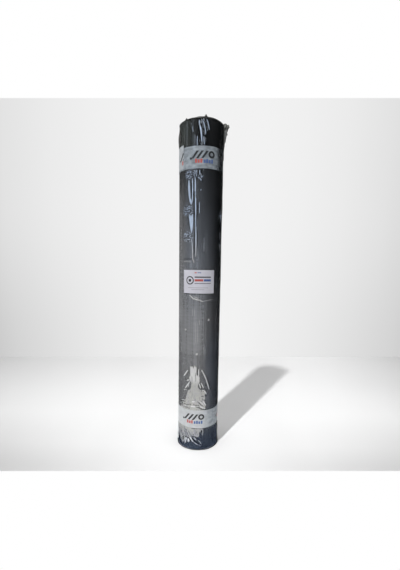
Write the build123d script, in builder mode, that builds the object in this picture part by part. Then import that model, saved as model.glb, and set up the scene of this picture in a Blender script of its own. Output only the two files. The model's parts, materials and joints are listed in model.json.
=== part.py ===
from build123d import *
import os
from math import cos, pi, radians, sin, sqrt

# Roll of roofing felt, standing on one end, wrapped in clear film and held by two printed tapes.
# Millimetres, +Z up. The origin is on the roll's axis, at the floor that it stands on.
# An azimuth is an angle about the axis, in degrees: 0 is the front, towards -Y, and 90 is the right, +X.

# Felt: one long sheet wound on itself
felt_width = 1000.0
felt_diameter = 130.0
bore_diameter = 40.0
felt_thickness = 1.6
turn_groove_depth = 0.35
rim_round = 2.5

# Film: one sheet wound once round the roll, with a lap, its ends folded in over the felt's ends
film_lap = 38.0
film_wall = 0.3
film_clearance = 0.3
film_fold_thickness = 1.2
film_eye_diameter = 78.0
film_edge_azimuth = 84.0

# Loose top corner of the film's free edge
ear_reach = 19.0
ear_height = 68.0
ear_root_width = 3.0
ear_tip_height = 14.0
ear_lean = 38.0

# Printed tapes, one turn each with the ends overlapping
tape_width = 60.0
tape_wall = 0.2
tape_clearance = 0.1
tape_lap = 42.0
upper_tape_below_top = 75.0
upper_lap_azimuth = -50.0
upper_lap_rise = 8.0
lower_tape_above_floor = 77.0
lower_lap_azimuth = 152.0
lower_lap_rise = 1.5

# Sticker on the film
label_width = 100.0
label_height = 70.0
label_wall = 0.2
label_clearance = 0.1
label_above_middle = 46.0
label_azimuth = -2.8


def chamfer_inside(round_radius):
    """Chamfer whose flat touches a rounding of this radius."""
    return round_radius * (2 - sqrt(2))


# What follows from them
felt_radius = felt_diameter / 2
bore_radius = bore_diameter / 2
turn_count = round((felt_radius - bore_radius) / felt_thickness)
turn_pitch = (felt_radius - bore_radius) / turn_count
felt_base = film_fold_thickness + film_clearance
felt_top = felt_base + felt_width
roll_height = felt_top + film_clearance + film_fold_thickness

film_inner_radius = felt_radius + film_clearance
film_radius = film_inner_radius + film_wall
film_rim_flat = chamfer_inside(rim_round + film_clearance + film_wall)
felt_room_rim_flat = chamfer_inside(rim_round + film_clearance)
film_lap_radius = film_radius + film_wall
eye_radius = film_eye_diameter / 2

upper_tape_base = roll_height - upper_tape_below_top - tape_width
tape_inner_radius = film_lap_radius + tape_clearance
tape_radius = tape_inner_radius + tape_wall
tape_lap_radius = tape_radius + tape_wall
label_inner_radius = film_lap_radius + label_clearance
label_base_height = roll_height / 2 + label_above_middle - label_height / 2
label_radius = label_inner_radius + label_wall


def arc_degrees(length, radius):
    """Angle, in degrees, of an arc of this length."""
    return length / radius * 180 / pi


def around(azimuth, radius):
    """Point on a circle about the axis, seen from above."""
    return (radius * sin(radians(azimuth)), -radius * cos(radians(azimuth)))


def curved_strip(inner_radius, outer_radius, first_azimuth, last_azimuth):
    """Face, seen from above, of a thin strip that lies along the roll's surface."""
    sweep = last_azimuth - first_azimuth
    with BuildSketch() as strip:
        with BuildLine():
            CenterArc((0, 0), outer_radius, first_azimuth - 90, sweep)
            CenterArc((0, 0), inner_radius, first_azimuth - 90, sweep)
            Line(around(first_azimuth, inner_radius), around(first_azimuth, outer_radius))
            Line(around(last_azimuth, inner_radius), around(last_azimuth, outer_radius))
        make_face()
    return strip.sketch


def rim_drop(radius):
    """How far the felt's end lies below its plane where the outer turns round off."""
    past_flat = max(0.0, radius - (felt_radius - rim_round))
    return rim_round - sqrt(rim_round**2 - past_flat**2)


def end_turns():
    """Radius and depth of each crest and groove on an end of the felt, from the bore outwards."""
    points = [(bore_radius, turn_groove_depth)]
    for turn in range(turn_count):
        crest = bore_radius + (turn + 0.5) * turn_pitch
        groove = bore_radius + (turn + 1) * turn_pitch
        points.append((crest, rim_drop(crest)))
        if turn < turn_count - 1:
            points.append((groove, rim_drop(groove) + turn_groove_depth))
    points.append((felt_radius, rim_round))
    return points


# Felt roll: a turned solid with its bore, each turn of the sheet a ridge on both ends
with BuildPart() as felt_roll:
    with BuildSketch(Plane.XZ):
        with BuildLine():
            lower_end = [(radius, felt_base + depth) for radius, depth in end_turns()]
            upper_end = [(radius, felt_top - depth) for radius, depth in end_turns()]
            Polyline(*lower_end, *reversed(upper_end), close=True)
        make_face()
    revolve(axis=Axis.Z)

# Film wrap: a thin tube that folds in over both ends and leaves a round eye at each
with BuildPart() as film_wrap:
    with BuildSketch(Plane.XZ) as film_section:
        with Locations((film_radius / 2, roll_height / 2)):
            Rectangle(film_radius, roll_height)
        chamfer(film_section.vertices().group_by(Axis.X)[-1], film_rim_flat)
        with BuildSketch(Plane.XZ, mode=Mode.PRIVATE) as felt_room:
            with Locations((film_inner_radius / 2, roll_height / 2)):
                Rectangle(film_inner_radius, felt_width + 2 * film_clearance)
            chamfer(felt_room.vertices().group_by(Axis.X)[-1], felt_room_rim_flat)
        add(felt_room.sketch, mode=Mode.SUBTRACT)
        with Locations((eye_radius / 2, roll_height / 2)):
            Rectangle(eye_radius, roll_height, mode=Mode.SUBTRACT)
    revolve(axis=Axis.Z)

    # The free edge's side lies over the first layer
    lap_start = film_edge_azimuth - arc_degrees(film_lap, film_radius)
    with BuildSketch(Plane.XY.offset(film_rim_flat)):
        add(curved_strip(film_radius - film_wall / 2, film_lap_radius, lap_start, film_edge_azimuth))
    extrude(amount=roll_height - 2 * film_rim_flat)

    # The loose corner stands off the roll above the upper tape
    ear_heading = Vector(1, 0, 0).rotate(Axis.Z, ear_lean)
    ear_plane = Plane(
        origin=(*around(film_edge_azimuth, film_radius), roll_height - film_rim_flat),
        x_dir=ear_heading,
        z_dir=ear_heading.cross(Vector(0, 0, 1)),
    )
    with BuildSketch(ear_plane):
        with BuildLine():
            ear_top = Line((0, 0), (ear_reach, 0))
            ear_tip = Line(ear_top @ 1, (ear_reach, -ear_tip_height))
            Spline(ear_tip @ 1, (ear_root_width, -ear_height), tangents=[(-1, -3), (0, -1)])
            Line((ear_root_width, -ear_height), (0, -ear_height))
            Line((0, -ear_height), (0, 0))
        make_face()
    extrude(amount=film_wall / 2, both=True)


def wound_tape(base_height, lap_azimuth, lap_rise):
    """Tape wound once round the film, its last stretch lying on its first."""
    with BuildPart() as tape:
        with BuildSketch(Plane.XY.offset(base_height)):
            Circle(tape_radius)
            Circle(tape_inner_radius, mode=Mode.SUBTRACT)
        extrude(amount=tape_width)
        lap_start = lap_azimuth - arc_degrees(tape_lap, tape_radius)
        with BuildSketch(Plane.XY.offset(base_height + lap_rise)):
            add(curved_strip(tape_radius - tape_wall / 2, tape_lap_radius, lap_start, lap_azimuth))
        extrude(amount=tape_width)
    return tape


tape_band_upper = wound_tape(upper_tape_base, upper_lap_azimuth, upper_lap_rise)
tape_band_lower = wound_tape(lower_tape_above_floor, lower_lap_azimuth, lower_lap_rise)

# Sticker, bent round the film at the front
with BuildPart() as label:
    half_sweep = arc_degrees(label_width, label_radius) / 2
    label_start, label_end = label_azimuth - half_sweep, label_azimuth + half_sweep
    with BuildSketch(Plane.XY.offset(label_base_height)):
        add(curved_strip(label_inner_radius, label_radius, label_start, label_end))
    extrude(amount=label_height)

felt_roll.part.label = "felt_roll"
film_wrap.part.label = "film_wrap"
tape_band_upper.part.label = "tape_band_upper"
tape_band_lower.part.label = "tape_band_lower"
label.part.label = "label"

os.makedirs("parts", exist_ok=True)
export_step(felt_roll.part, "parts/felt_roll.step")
export_step(film_wrap.part, "parts/film_wrap.step")
export_step(tape_band_upper.part, "parts/tape_band_upper.step")
export_step(tape_band_lower.part, "parts/tape_band_lower.step")
export_step(label.part, "parts/label.step")
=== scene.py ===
import json
import math

import bpy
import numpy as np
from mathutils import Matrix, Vector


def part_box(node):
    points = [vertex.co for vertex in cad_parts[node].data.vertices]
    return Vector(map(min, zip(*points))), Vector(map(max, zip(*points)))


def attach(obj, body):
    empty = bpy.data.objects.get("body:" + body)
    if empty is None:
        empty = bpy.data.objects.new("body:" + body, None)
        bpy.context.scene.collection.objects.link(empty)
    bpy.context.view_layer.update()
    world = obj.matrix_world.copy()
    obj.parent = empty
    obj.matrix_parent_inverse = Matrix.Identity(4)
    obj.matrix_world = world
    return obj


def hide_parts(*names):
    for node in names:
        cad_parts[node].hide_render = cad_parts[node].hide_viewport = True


bl_info = {
    "name": "Roofing Felt Roll",
    "version": (1, 0, 0),
    "blender": (4, 5, 0),
    "location": "3D View > Sidebar > Felt Roll",
    "description": "Dresses a roll of roofing felt with its turns, clear film, printed tapes and a sticker",
    "category": "Object",
}

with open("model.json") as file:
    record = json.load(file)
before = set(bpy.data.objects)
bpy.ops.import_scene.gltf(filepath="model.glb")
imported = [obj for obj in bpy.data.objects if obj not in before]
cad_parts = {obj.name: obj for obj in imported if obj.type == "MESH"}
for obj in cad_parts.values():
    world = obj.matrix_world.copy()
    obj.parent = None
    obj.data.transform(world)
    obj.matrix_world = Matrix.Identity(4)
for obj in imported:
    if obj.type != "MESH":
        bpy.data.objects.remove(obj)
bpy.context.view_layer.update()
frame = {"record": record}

MM = 0.001
BODY = "root"
WHITE = (1.0, 1.0, 1.0)
CLEAR_TINT = (0.93, 0.935, 0.94)


# Places and sizes on the roll, read from the frame where it holds them

def outer_radius(cad_node):
    """Outer radius of a node that goes right round the roll's axis."""
    low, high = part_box(cad_node)
    return (high.y - low.y) / 2


BORE = next(mount for mount in frame["record"]["mounts"] if mount["name"] == "bore")
BORE_RADIUS = BORE["dims"]["r_mm"] * MM
FELT_BASE, FELT_TOP = (corner.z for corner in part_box("felt_roll"))
# The wound sheet springs out a little past its nominal radius
FELT_RADIUS = outer_radius("felt_roll") + 0.9 * MM
FELT_ROUND = 2.5 * MM
ROLL_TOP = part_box("film_wrap")[1].z
TAPE_WIDTH = 60 * MM
UPPER_TAPE_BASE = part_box("tape_band_upper")[0].z
UPPER_TAPE_TOP = UPPER_TAPE_BASE + TAPE_WIDTH
LOWER_TAPE_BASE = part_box("tape_band_lower")[0].z
LOWER_TAPE_TOP = LOWER_TAPE_BASE + TAPE_WIDTH
STICKER_BASE, STICKER_TOP = (corner.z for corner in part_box("label"))
STICKER_WIDTH = 100 * MM
STICKER_AZIMUTH = -2.8


# Small helpers for places and fields on the roll. An azimuth is in degrees from the front towards the right.

def around(azimuth, radius, height):
    """Points at these azimuths as an array of x, y, z."""
    angle = np.radians(azimuth)
    return np.stack(np.broadcast_arrays(radius * np.sin(angle), -radius * np.cos(angle), height), -1)


def turned_to(azimuth, centre):
    """Azimuths measured from centre, brought between -180 and 180 degrees."""
    return (azimuth - centre + 180) % 360 - 180


def rise(value, start, end):
    """0 before start, 1 after end, and smooth between them."""
    share = np.clip((value - start) / (end - start), 0, 1)
    return share * share * (3 - 2 * share)


def between(value, start, full, fading, end):
    """0 up to start, 1 from full to fading, 0 again from end, and smooth between them."""
    return rise(value, start, full) * (1 - rise(value, fading, end))


def bell(azimuth, centre, half_width, power=2):
    """1 at the centre and less to both sides. A higher power gives a flatter top."""
    return np.exp(-((turned_to(azimuth, centre) / half_width) ** power))


def read_off(value, table):
    """A value read from a short list of pairs."""
    places, values = zip(*table)
    return np.interp(value, places, values)


def stepped(places, counts):
    """Values from the first place to the last, as many in each stretch as its count says."""
    stretches = zip(places, places[1:], counts)
    steps = [np.linspace(start, end, count, endpoint=False) for start, end, count in stretches]
    return np.concatenate([*steps, places[-1:]])


def soft_noise(azimuth, height, seed, across, along):
    """Smooth random field from -1 to 1: across cells round the roll, and one for each `along` of height."""
    rows = 64
    lattice = np.random.RandomState(seed).uniform(-1, 1, (across, rows))
    column = np.asarray(azimuth) / 360 * across
    row = np.asarray(height) / along
    column_index, row_index = np.floor(column).astype(int), np.floor(row).astype(int)
    column_part, row_part = rise(column - column_index, 0, 1), rise(row - row_index, 0, 1)

    def corner(i, j):
        return lattice[(column_index + i) % across, (row_index + j) % rows]

    lower = corner(0, 0) * (1 - column_part) + corner(1, 0) * column_part
    upper = corner(0, 1) * (1 - column_part) + corner(1, 1) * column_part
    return lower * (1 - row_part) + upper * row_part


def noise_round(azimuth, seed, across):
    """Smooth random field that changes only round the roll."""
    return soft_noise(azimuth, 0 * azimuth, seed, across, 1.0)


# Small helpers for meshes

def grid_faces(columns, rows, start=0):
    """Faces of a grid whose points run row by row: `columns` points in each of `rows` rows."""
    index = start + np.arange(columns * rows).reshape(rows, columns)
    return np.stack([index[:-1, :-1], index[:-1, 1:], index[1:, 1:], index[1:, :-1]], -1).reshape(-1, 4)


def mesh_object(name, points, faces, uv_name=None, uv=None):
    """A smooth-shaded mesh object that rides on the roll. uv holds one pair for each point."""
    mesh = bpy.data.meshes.new(name)
    mesh.from_pydata(np.asarray(points).tolist(), [], np.asarray(faces).tolist())
    mesh.polygons.foreach_set("use_smooth", np.ones(len(mesh.polygons), bool))
    if uv is not None:
        corners = np.zeros(len(mesh.loops), int)
        mesh.loops.foreach_get("vertex_index", corners)
        layer = mesh.uv_layers.new(name=uv_name)
        layer.data.foreach_set("uv", np.asarray(uv, np.float32)[corners].ravel())
    mesh.update()
    piece = bpy.data.objects.new(name, mesh)
    bpy.context.scene.collection.objects.link(piece)
    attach(piece, BODY)
    return piece


def store(piece, name, values):
    """Keeps a number for each point, for the piece's material to read."""
    attribute = piece.data.attributes.new(name, "FLOAT", "POINT")
    attribute.data.foreach_set("value", np.asarray(values, np.float32).ravel())


# Small helpers for materials

def new_material(name):
    """An empty material and its node tree."""
    material = bpy.data.materials.new(name)
    material.use_nodes = True
    tree = material.node_tree
    tree.nodes.clear()
    return material, tree


def node(tree, kind, sockets=(), named=None, **settings):
    """Adds a node. A value that is a socket is linked, and any other is set on the input."""
    made = tree.nodes.new(kind)
    for key, value in settings.items():
        setattr(made, key, value)
    for key, value in [*enumerate(sockets), *(named or {}).items()]:
        if isinstance(value, bpy.types.NodeSocket):
            tree.links.new(value, made.inputs[key])
        elif value is not None:
            made.inputs[key].default_value = value
    return made


def tree_of(*values):
    """The node tree of the first socket among these values."""
    return next(value.id_data for value in values if isinstance(value, bpy.types.NodeSocket))


def maths(operation, first, second=0.0, clamp=False):
    """A sum, product or comparison of sockets and numbers. At least one is a socket."""
    tree = tree_of(first, second)
    return node(tree, "ShaderNodeMath", (first, second), operation=operation, use_clamp=clamp).outputs[0]


def plus(first, second, clamp=False):
    return maths("ADD", first, second, clamp)


def less(first, second):
    return maths("SUBTRACT", first, second)


def times(first, second):
    return maths("MULTIPLY", first, second)


def larger(first, second):
    return maths("MAXIMUM", first, second)


def absolute(value):
    return maths("ABSOLUTE", value)


def without(share):
    """What a share leaves of 1."""
    return less(1.0, share)


def remapped(value, from_low, from_high, to_low=0.0, to_high=1.0):
    """The value carried smoothly from one range to another."""
    sockets = (value, from_low, from_high, to_low, to_high)
    return node(tree_of(value), "ShaderNodeMapRange", sockets, interpolation_type="SMOOTHSTEP").outputs[0]


def noise(vector, scale, detail=3.0, roughness=0.5):
    """A cloudy field from 0 to 1."""
    named = {"Vector": vector, "Scale": scale, "Detail": detail, "Roughness": roughness}
    return node(tree_of(vector), "ShaderNodeTexNoise", named=named).outputs[0]


def cracks(field, start, end):
    """Thin lines where a noise is near its middle: 1 up to start off it, and 0 from end on."""
    return remapped(absolute(less(field, 0.5)), start, end, 1.0, 0.0)


def stretched(vector, scale):
    """A place scaled along each axis, which draws a texture out along the smallest."""
    return node(tree_of(vector), "ShaderNodeMapping", (vector,), {"Scale": scale}).outputs[0]


def split(vector):
    """The x, y and z of a place."""
    return node(tree_of(vector), "ShaderNodeSeparateXYZ", (vector,)).outputs


def object_place(tree):
    """Place in the object's own space, in metres."""
    return node(tree, "ShaderNodeTexCoord").outputs["Object"]


def uv_place(tree, name):
    """Place on the piece's own map, in metres."""
    return node(tree, "ShaderNodeUVMap", uv_map=name).outputs[0]


def stored(tree, name):
    """A number that the mesh keeps for each point."""
    return node(tree, "ShaderNodeAttribute", attribute_name=name).outputs["Fac"]


def colour_mix(share, first, second, blend="MIX"):
    """The first colour where share is 0, and the second where it is 1."""
    named = {0: share, 6: first, 7: second}
    tree = tree_of(share, first, second)
    return node(tree, "ShaderNodeMix", named=named, data_type="RGBA", blend_type=blend).outputs[2]


def shader_mix(share, first, second):
    """The first shader where share is 0, and the second where it is 1."""
    return node(tree_of(share, first, second), "ShaderNodeMixShader", (share, first, second)).outputs[0]


def bump(height, distance, strength=1.0, normal=None):
    """Fine relief, laid over another relief where one is given."""
    named = {"Height": height, "Distance": distance, "Strength": strength, "Normal": normal}
    return node(tree_of(height), "ShaderNodeBump", named=named).outputs[0]


def principled(tree, colour, roughness, specular, normal):
    """A plain surface with its own gloss and relief."""
    named = {"Base Color": colour, "Roughness": roughness, "Specular IOR Level": specular, "Normal": normal}
    return node(tree, "ShaderNodeBsdfPrincipled", named=named).outputs[0]


def output(surface):
    """Ends a material's tree with this surface."""
    node(tree_of(surface), "ShaderNodeOutputMaterial", (surface,))


def opaque(colour):
    """A colour with its alpha."""
    return (*colour, 1.0)



# Settings that a user would change

class FeltSettings(bpy.types.PropertyGroup):
    thickness: bpy.props.FloatProperty(
        name="Felt Thickness", description="Thickness of one turn of the felt",
        default=1.6 * MM, min=0.5 * MM, max=6 * MM, unit="LENGTH")
    colour: bpy.props.FloatVectorProperty(
        name="Felt Colour", description="Colour of the felt's bitumen face",
        default=(0.0050, 0.0058, 0.0065), subtype="COLOR", min=0, max=1)
    dust_colour: bpy.props.FloatVectorProperty(
        name="Talc Colour", description="Colour of the talc that dusts the felt",
        default=(0.015, 0.0155, 0.0155), subtype="COLOR", min=0, max=1)
    cut_colour: bpy.props.FloatVectorProperty(
        name="Cut Edge Colour", description="Colour of the felt where it is cut at both ends",
        default=(0.060, 0.058, 0.054), subtype="COLOR", min=0, max=1)
    free_edge: bpy.props.FloatProperty(
        name="Free Edge", description="Where the felt's outer end lies, in degrees from the front",
        default=152.0, min=-180, max=360)


class FilmSettings(bpy.types.PropertyGroup):
    slack: bpy.props.FloatProperty(
        name="Slack", description="How far the loose film stands off the felt",
        default=0.55 * MM, min=0, max=4 * MM, unit="LENGTH")
    wrinkle: bpy.props.FloatProperty(
        name="Wrinkle Height", description="Height of the wrinkles that spread from the tapes",
        default=0.9 * MM, min=0, max=4 * MM, unit="LENGTH")
    # Scales the film's cloudiness, and with it the painted light that the cloudiness carries
    haze_and_painted_light: bpy.props.FloatProperty(
        name="Haze", description="How cloudy the smooth film is",
        default=0.40, min=0, max=1, subtype="FACTOR")
    # Its blue is a painted reflection of the sky
    upper_haze_and_painted_sky_colour: bpy.props.FloatVectorProperty(
        name="Upper Haze Colour", description="Colour of the cloudy film in the upper part",
        default=(0.52, 0.57, 0.66), subtype="COLOR", min=0, max=1)
    neutral_colour: bpy.props.FloatVectorProperty(
        name="Lower Haze Colour", description="Colour of the cloudy film in the lower part",
        default=(0.54, 0.55, 0.575), subtype="COLOR", min=0, max=1)
    warm_colour: bpy.props.FloatVectorProperty(
        name="Gathered Colour", description="Colour of the film where it is gathered near the foot",
        default=(0.50, 0.50, 0.47), subtype="COLOR", min=0, max=1)
    lilac_colour: bpy.props.FloatVectorProperty(
        name="Thick Gathers Colour", description="Colour of the film where many layers lie gathered",
        default=(0.50, 0.49, 0.55), subtype="COLOR", min=0, max=1)
    # Colour of the painted highlights along the film's folds
    painted_highlight_colour: bpy.props.FloatVectorProperty(
        name="Fold Colour", description="Colour of the sharp folds that catch the light",
        default=(0.64, 0.77, 0.99), subtype="COLOR", min=0, max=1)
    gloss: bpy.props.FloatProperty(
        name="Gloss", description="Share of light that the layers of film mirror",
        default=0.045, min=0, max=1, subtype="FACTOR")
    gloss_roughness: bpy.props.FloatProperty(
        name="Gloss Roughness", description="How blurred the film's reflections are",
        default=0.06, min=0, max=1, subtype="FACTOR")


class TapeSettings(bpy.types.PropertyGroup):
    colour: bpy.props.FloatVectorProperty(
        name="Tape Colour", description="Colour of the packing tape",
        default=(0.49, 0.55, 0.605), subtype="COLOR", min=0, max=1)
    see_through: bpy.props.FloatProperty(
        name="See-through", description="Share of light that passes the tape",
        default=0.50, min=0, max=1, subtype="FACTOR")
    print_black: bpy.props.FloatVectorProperty(
        name="Black Ink", description="Colour of the dark marks",
        default=(0.012, 0.012, 0.014), subtype="COLOR", min=0, max=1)
    print_red: bpy.props.FloatVectorProperty(
        name="Red Ink", description="Colour of the red marks",
        default=(0.50, 0.10, 0.09), subtype="COLOR", min=0, max=1)
    print_blue: bpy.props.FloatVectorProperty(
        name="Blue Ink", description="Colour of the blue marks",
        default=(0.07, 0.13, 0.34), subtype="COLOR", min=0, max=1)
    print_repeat: bpy.props.FloatProperty(
        name="Print Repeat", description="Length of tape from one printed mark to the next",
        default=122.7 * MM, min=20 * MM, max=400 * MM, unit="LENGTH")


class LabelSettings(bpy.types.PropertyGroup):
    paper: bpy.props.FloatVectorProperty(
        name="Paper Colour", description="Colour of the sticker's paper",
        default=(0.69, 0.685, 0.76), subtype="COLOR", min=0, max=1)


class StageSettings(bpy.types.PropertyGroup):
    key_strength: bpy.props.FloatProperty(
        name="Key Lamp", description="Power of the lamp that casts the shadow",
        default=149.0, min=0, unit="POWER")
    window_strength: bpy.props.FloatProperty(
        name="Window Lamp", description="Power of the tall cool lamp at the left",
        default=1.4, min=0, unit="POWER")
    world_strength: bpy.props.FloatProperty(
        name="Ambient", description="Strength of the light from all round",
        default=0.88, min=0, max=4)


# Felt roll: the wound sheet, its turns a spiral on both ends

POINTS_PER_TURN = 112
# Section of one turn on the felt's ends: share of the turn's thickness, and depth below the end
TURN_SECTION = ((0.04, 0.45 * MM), (0.22, 0.06 * MM), (0.78, 0.0), (0.96, 0.45 * MM))


def wound_radius(pitch, turns):
    """Radius of the felt's inner face after this many turns. Most of each step lies near the free edge."""
    whole = np.floor(turns)
    part = turns - whole
    return BORE_RADIUS + pitch * (whole + 0.45 * part + 0.55 * rise(part, 0.0, 0.22))


def felt_end(free_edge, pitch, turn_count, plane, inwards, seed):
    """Points and faces of one end: each turn has two edges and a crown, with a groove to the next turn."""
    steps = turn_count * POINTS_PER_TURN
    turns = np.arange(steps + 1) / POINTS_PER_TURN
    azimuth = free_edge + turns * 360
    own_level = np.random.RandomState(seed).uniform(0, 0.5 * MM, turn_count + 3)
    level = np.interp(turns, np.arange(len(own_level)), own_level)
    level = level + 0.12 * MM * soft_noise(azimuth, turns * 0.1, seed + 1, 40, 0.1)
    rows = []
    for share, depth in TURN_SECTION:
        radius = wound_radius(pitch, turns) + share * pitch
        past_flat = np.clip(radius - (FELT_RADIUS - FELT_ROUND), 0, FELT_ROUND)
        rounding = FELT_ROUND - np.sqrt(FELT_ROUND**2 - past_flat**2)
        rows.append(around(azimuth, radius, plane + inwards * (level + depth + rounding)))
    groove = np.arange(steps - POINTS_PER_TURN)
    next_turn = groove + POINTS_PER_TURN
    last_row = groove + (len(rows) - 1) * (steps + 1)
    joins = np.stack([last_row, last_row + 1, next_turn + 1, next_turn], -1)
    return np.concatenate(rows), np.concatenate([grid_faces(steps + 1, len(rows)), joins])


def felt_walls(free_edge, pitch, turn_count, columns=181, rows=90):
    """Points and faces of the outer face and of the bore, each with the step at the sheet's end."""
    height = np.linspace(FELT_BASE + 0.3 * MM, FELT_TOP - 0.3 * MM, rows)[:, None]
    from_end = np.minimum(height - FELT_BASE, FELT_TOP - height)
    points, faces = [], []
    for first_turn, share in ((turn_count - 1, TURN_SECTION[-1][0]), (0, TURN_SECTION[0][0])):
        turns = first_turn + np.linspace(0, 1, columns)[None, :]
        azimuth = free_edge + turns * 360
        radius = wound_radius(pitch, turns) + share * pitch
        if first_turn > 0:
            radius = radius - 1.6 * MM * (1 - rise(from_end, 0, FELT_ROUND)) ** 2
            radius = radius + 0.12 * MM * soft_noise(azimuth, height, 5, 14, 0.05)
        start = len(points) * rows * columns
        first_column = start + np.arange(rows) * columns
        last_column = first_column + columns - 1
        step = np.stack([first_column[:-1], last_column[:-1], last_column[1:], first_column[1:]], -1)
        points.append(around(azimuth, radius, height).reshape(-1, 3))
        faces += [grid_faces(columns, rows, start), step]
    return np.concatenate(points), np.concatenate(faces)


def felt_material(settings):
    """Matt bitumen face, dusted with talc, and paler where the sheet is cut at both ends."""
    material, tree = new_material("bitumen_felt")
    place = object_place(tree)
    grain = noise(place, 900, 4, 0.6)
    clouds = noise(stretched(place, (1, 1, 0.25)), 26, 4, 0.55)
    streaks = noise(stretched(place, (1, 1, 0.04)), 90, 2, 0.5)
    dust = times(remapped(clouds, 0.4, 0.75), remapped(grain, 0.35, 0.75))
    dust = plus(dust, times(remapped(streaks, 0.5, 0.8), 0.25), clamp=True)
    colour = colour_mix(dust, opaque(settings.colour), opaque(settings.dust_colour))
    from_middle = absolute(less(split(place)[2], (FELT_BASE + FELT_TOP) / 2))
    half = (FELT_TOP - FELT_BASE) / 2
    cut = remapped(from_middle, half - 2.2 * MM, half - 0.6 * MM)
    cut = times(cut, remapped(grain, 0.2, 0.8, 0.5, 1.0))
    colour = colour_mix(cut, colour, opaque(settings.cut_colour))
    roughness = remapped(grain, 0.2, 0.8, 0.62, 0.88)
    output(principled(tree, colour, roughness, 0.0, bump(grain, 0.25 * MM, 0.6)))
    return material


class ROOFROLL_OT_felt(bpy.types.Operator):
    """Makes the wound felt, with its turns on both ends"""
    bl_idname = "roofroll.felt"
    bl_label = "Felt Roll"

    def execute(self, context):
        settings = context.scene.roofroll_felt
        layers = int(round((FELT_RADIUS - BORE_RADIUS) / settings.thickness))
        winding = (settings.free_edge, (FELT_RADIUS - BORE_RADIUS) / layers, layers - 1)
        parts = [
            felt_end(*winding, plane=FELT_TOP, inwards=-1, seed=11),
            felt_end(*winding, plane=FELT_BASE, inwards=1, seed=23),
            felt_walls(*winding),
        ]
        points, faces, start = [], [], 0
        for part_points, part_faces in parts:
            points.append(part_points)
            faces.append(part_faces + start)
            start += len(part_points)
        felt = mesh_object("felt", np.concatenate(points), np.concatenate(faces))
        felt.data.materials.append(felt_material(settings))
        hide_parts("felt_roll")
        return {"FINISHED"}


# Film wrap: a wrinkled sheet, wound once round the roll with a lap

FILM_EDGE = 84.0
FILM_LAP = 33.0
FILM_REST = FELT_RADIUS + 0.15 * MM
# How far the film winds outwards from the start of its lap to its free edge
FILM_CLIMB = 0.3 * MM
RIM_ROUND = 2.8 * MM
FOOT_ROUND = 1.4 * MM
# The folded ends: the film's gap over the felt's top end, its layers' thickness under the foot, lengths on
# the map from rim to eye and round the rim, the eye that stays open and the pleats
TOP_GAP = 0.3 * MM
FOOT_LAYERS = 1.2 * MM
FOLD_LENGTH = 26 * MM
RIM_LENGTH = 4 * MM
EYE_RADIUS = 39 * MM
END_PLEATS = 47
# The mesh: azimuths and heights where its spacing changes, and the columns and rows in each stretch. It is
# finest at the front and where the film is most folded.
FILM_TURN = (FILM_EDGE - FILM_LAP, 294, 420, FILM_EDGE + 360)
FILM_COLUMNS = (82, 144, 9)
FILM_LEVELS = (FELT_BASE + 0.4 * MM, 0.30, 0.478, 0.512, 0.59, 0.865, 0.93, FELT_TOP - FELT_ROUND)
FILM_ROWS = (148, 38, 20, 12, 100, 12, 37)
RIM_ROWS = 4
FOLD_ROWS = 9
# How far the film stands up, in mm: beside the upper tape at the left, all round the foot's front, and in a
# puff at the foot's left
BULGE_RISE = 2.7
FOOT_FLARE = 2.4
FOOT_PUFF = 2.0
# Way in which the loose corner points, in degrees from the right towards the back
EAR_HEADING = 16.0
# Numbers that the mesh keeps at each point for the film's material: folds, with part of the painted
# highlights, painted highlights along folds, painted shade in hollows, gathered film that is also a painted
# reflection, place across its strands, film that stands free, crumples, and cloudiness of smooth film with
# painted light
FILM_NUMBERS = ("crease", "bright", "dark", "milk_and_painted_reflection", "fibre", "loose", "crumple", "haze_and_painted_light")

# Middle of the front, where the streaks are placed one by one. Random folds stay weaker there.
FRONT_MIDDLE = 6.0

# Colours that the film takes in a few places: its cloudy tint low at the right, high at the left front and
# at the foot, the thickest gathers, also a painted reflection in the fan, the painted highlights of the
# lower half, film that stands free, painted shade on it, and reflections at the foot
SLATE_HAZE = (0.44, 0.53, 0.70)
OLIVE_HAZE = (0.50, 0.56, 0.53)
FOOT_HAZE = (0.20, 0.27, 0.46)
THICK_GATHERS_AND_PAINTED_REFLECTION = (0.86, 0.87, 0.88)
LOW_PAINTED_HIGHLIGHT = (0.74, 0.74, 0.75)
LOOSE_DARK = (0.035, 0.038, 0.033)
LOOSE_PALE = (0.20, 0.205, 0.19)
LOOSE_PAINTED_SHADE = (0.008, 0.009, 0.008)
FOOT_GLOSS = (0.55, 0.72, 1.0)
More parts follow.
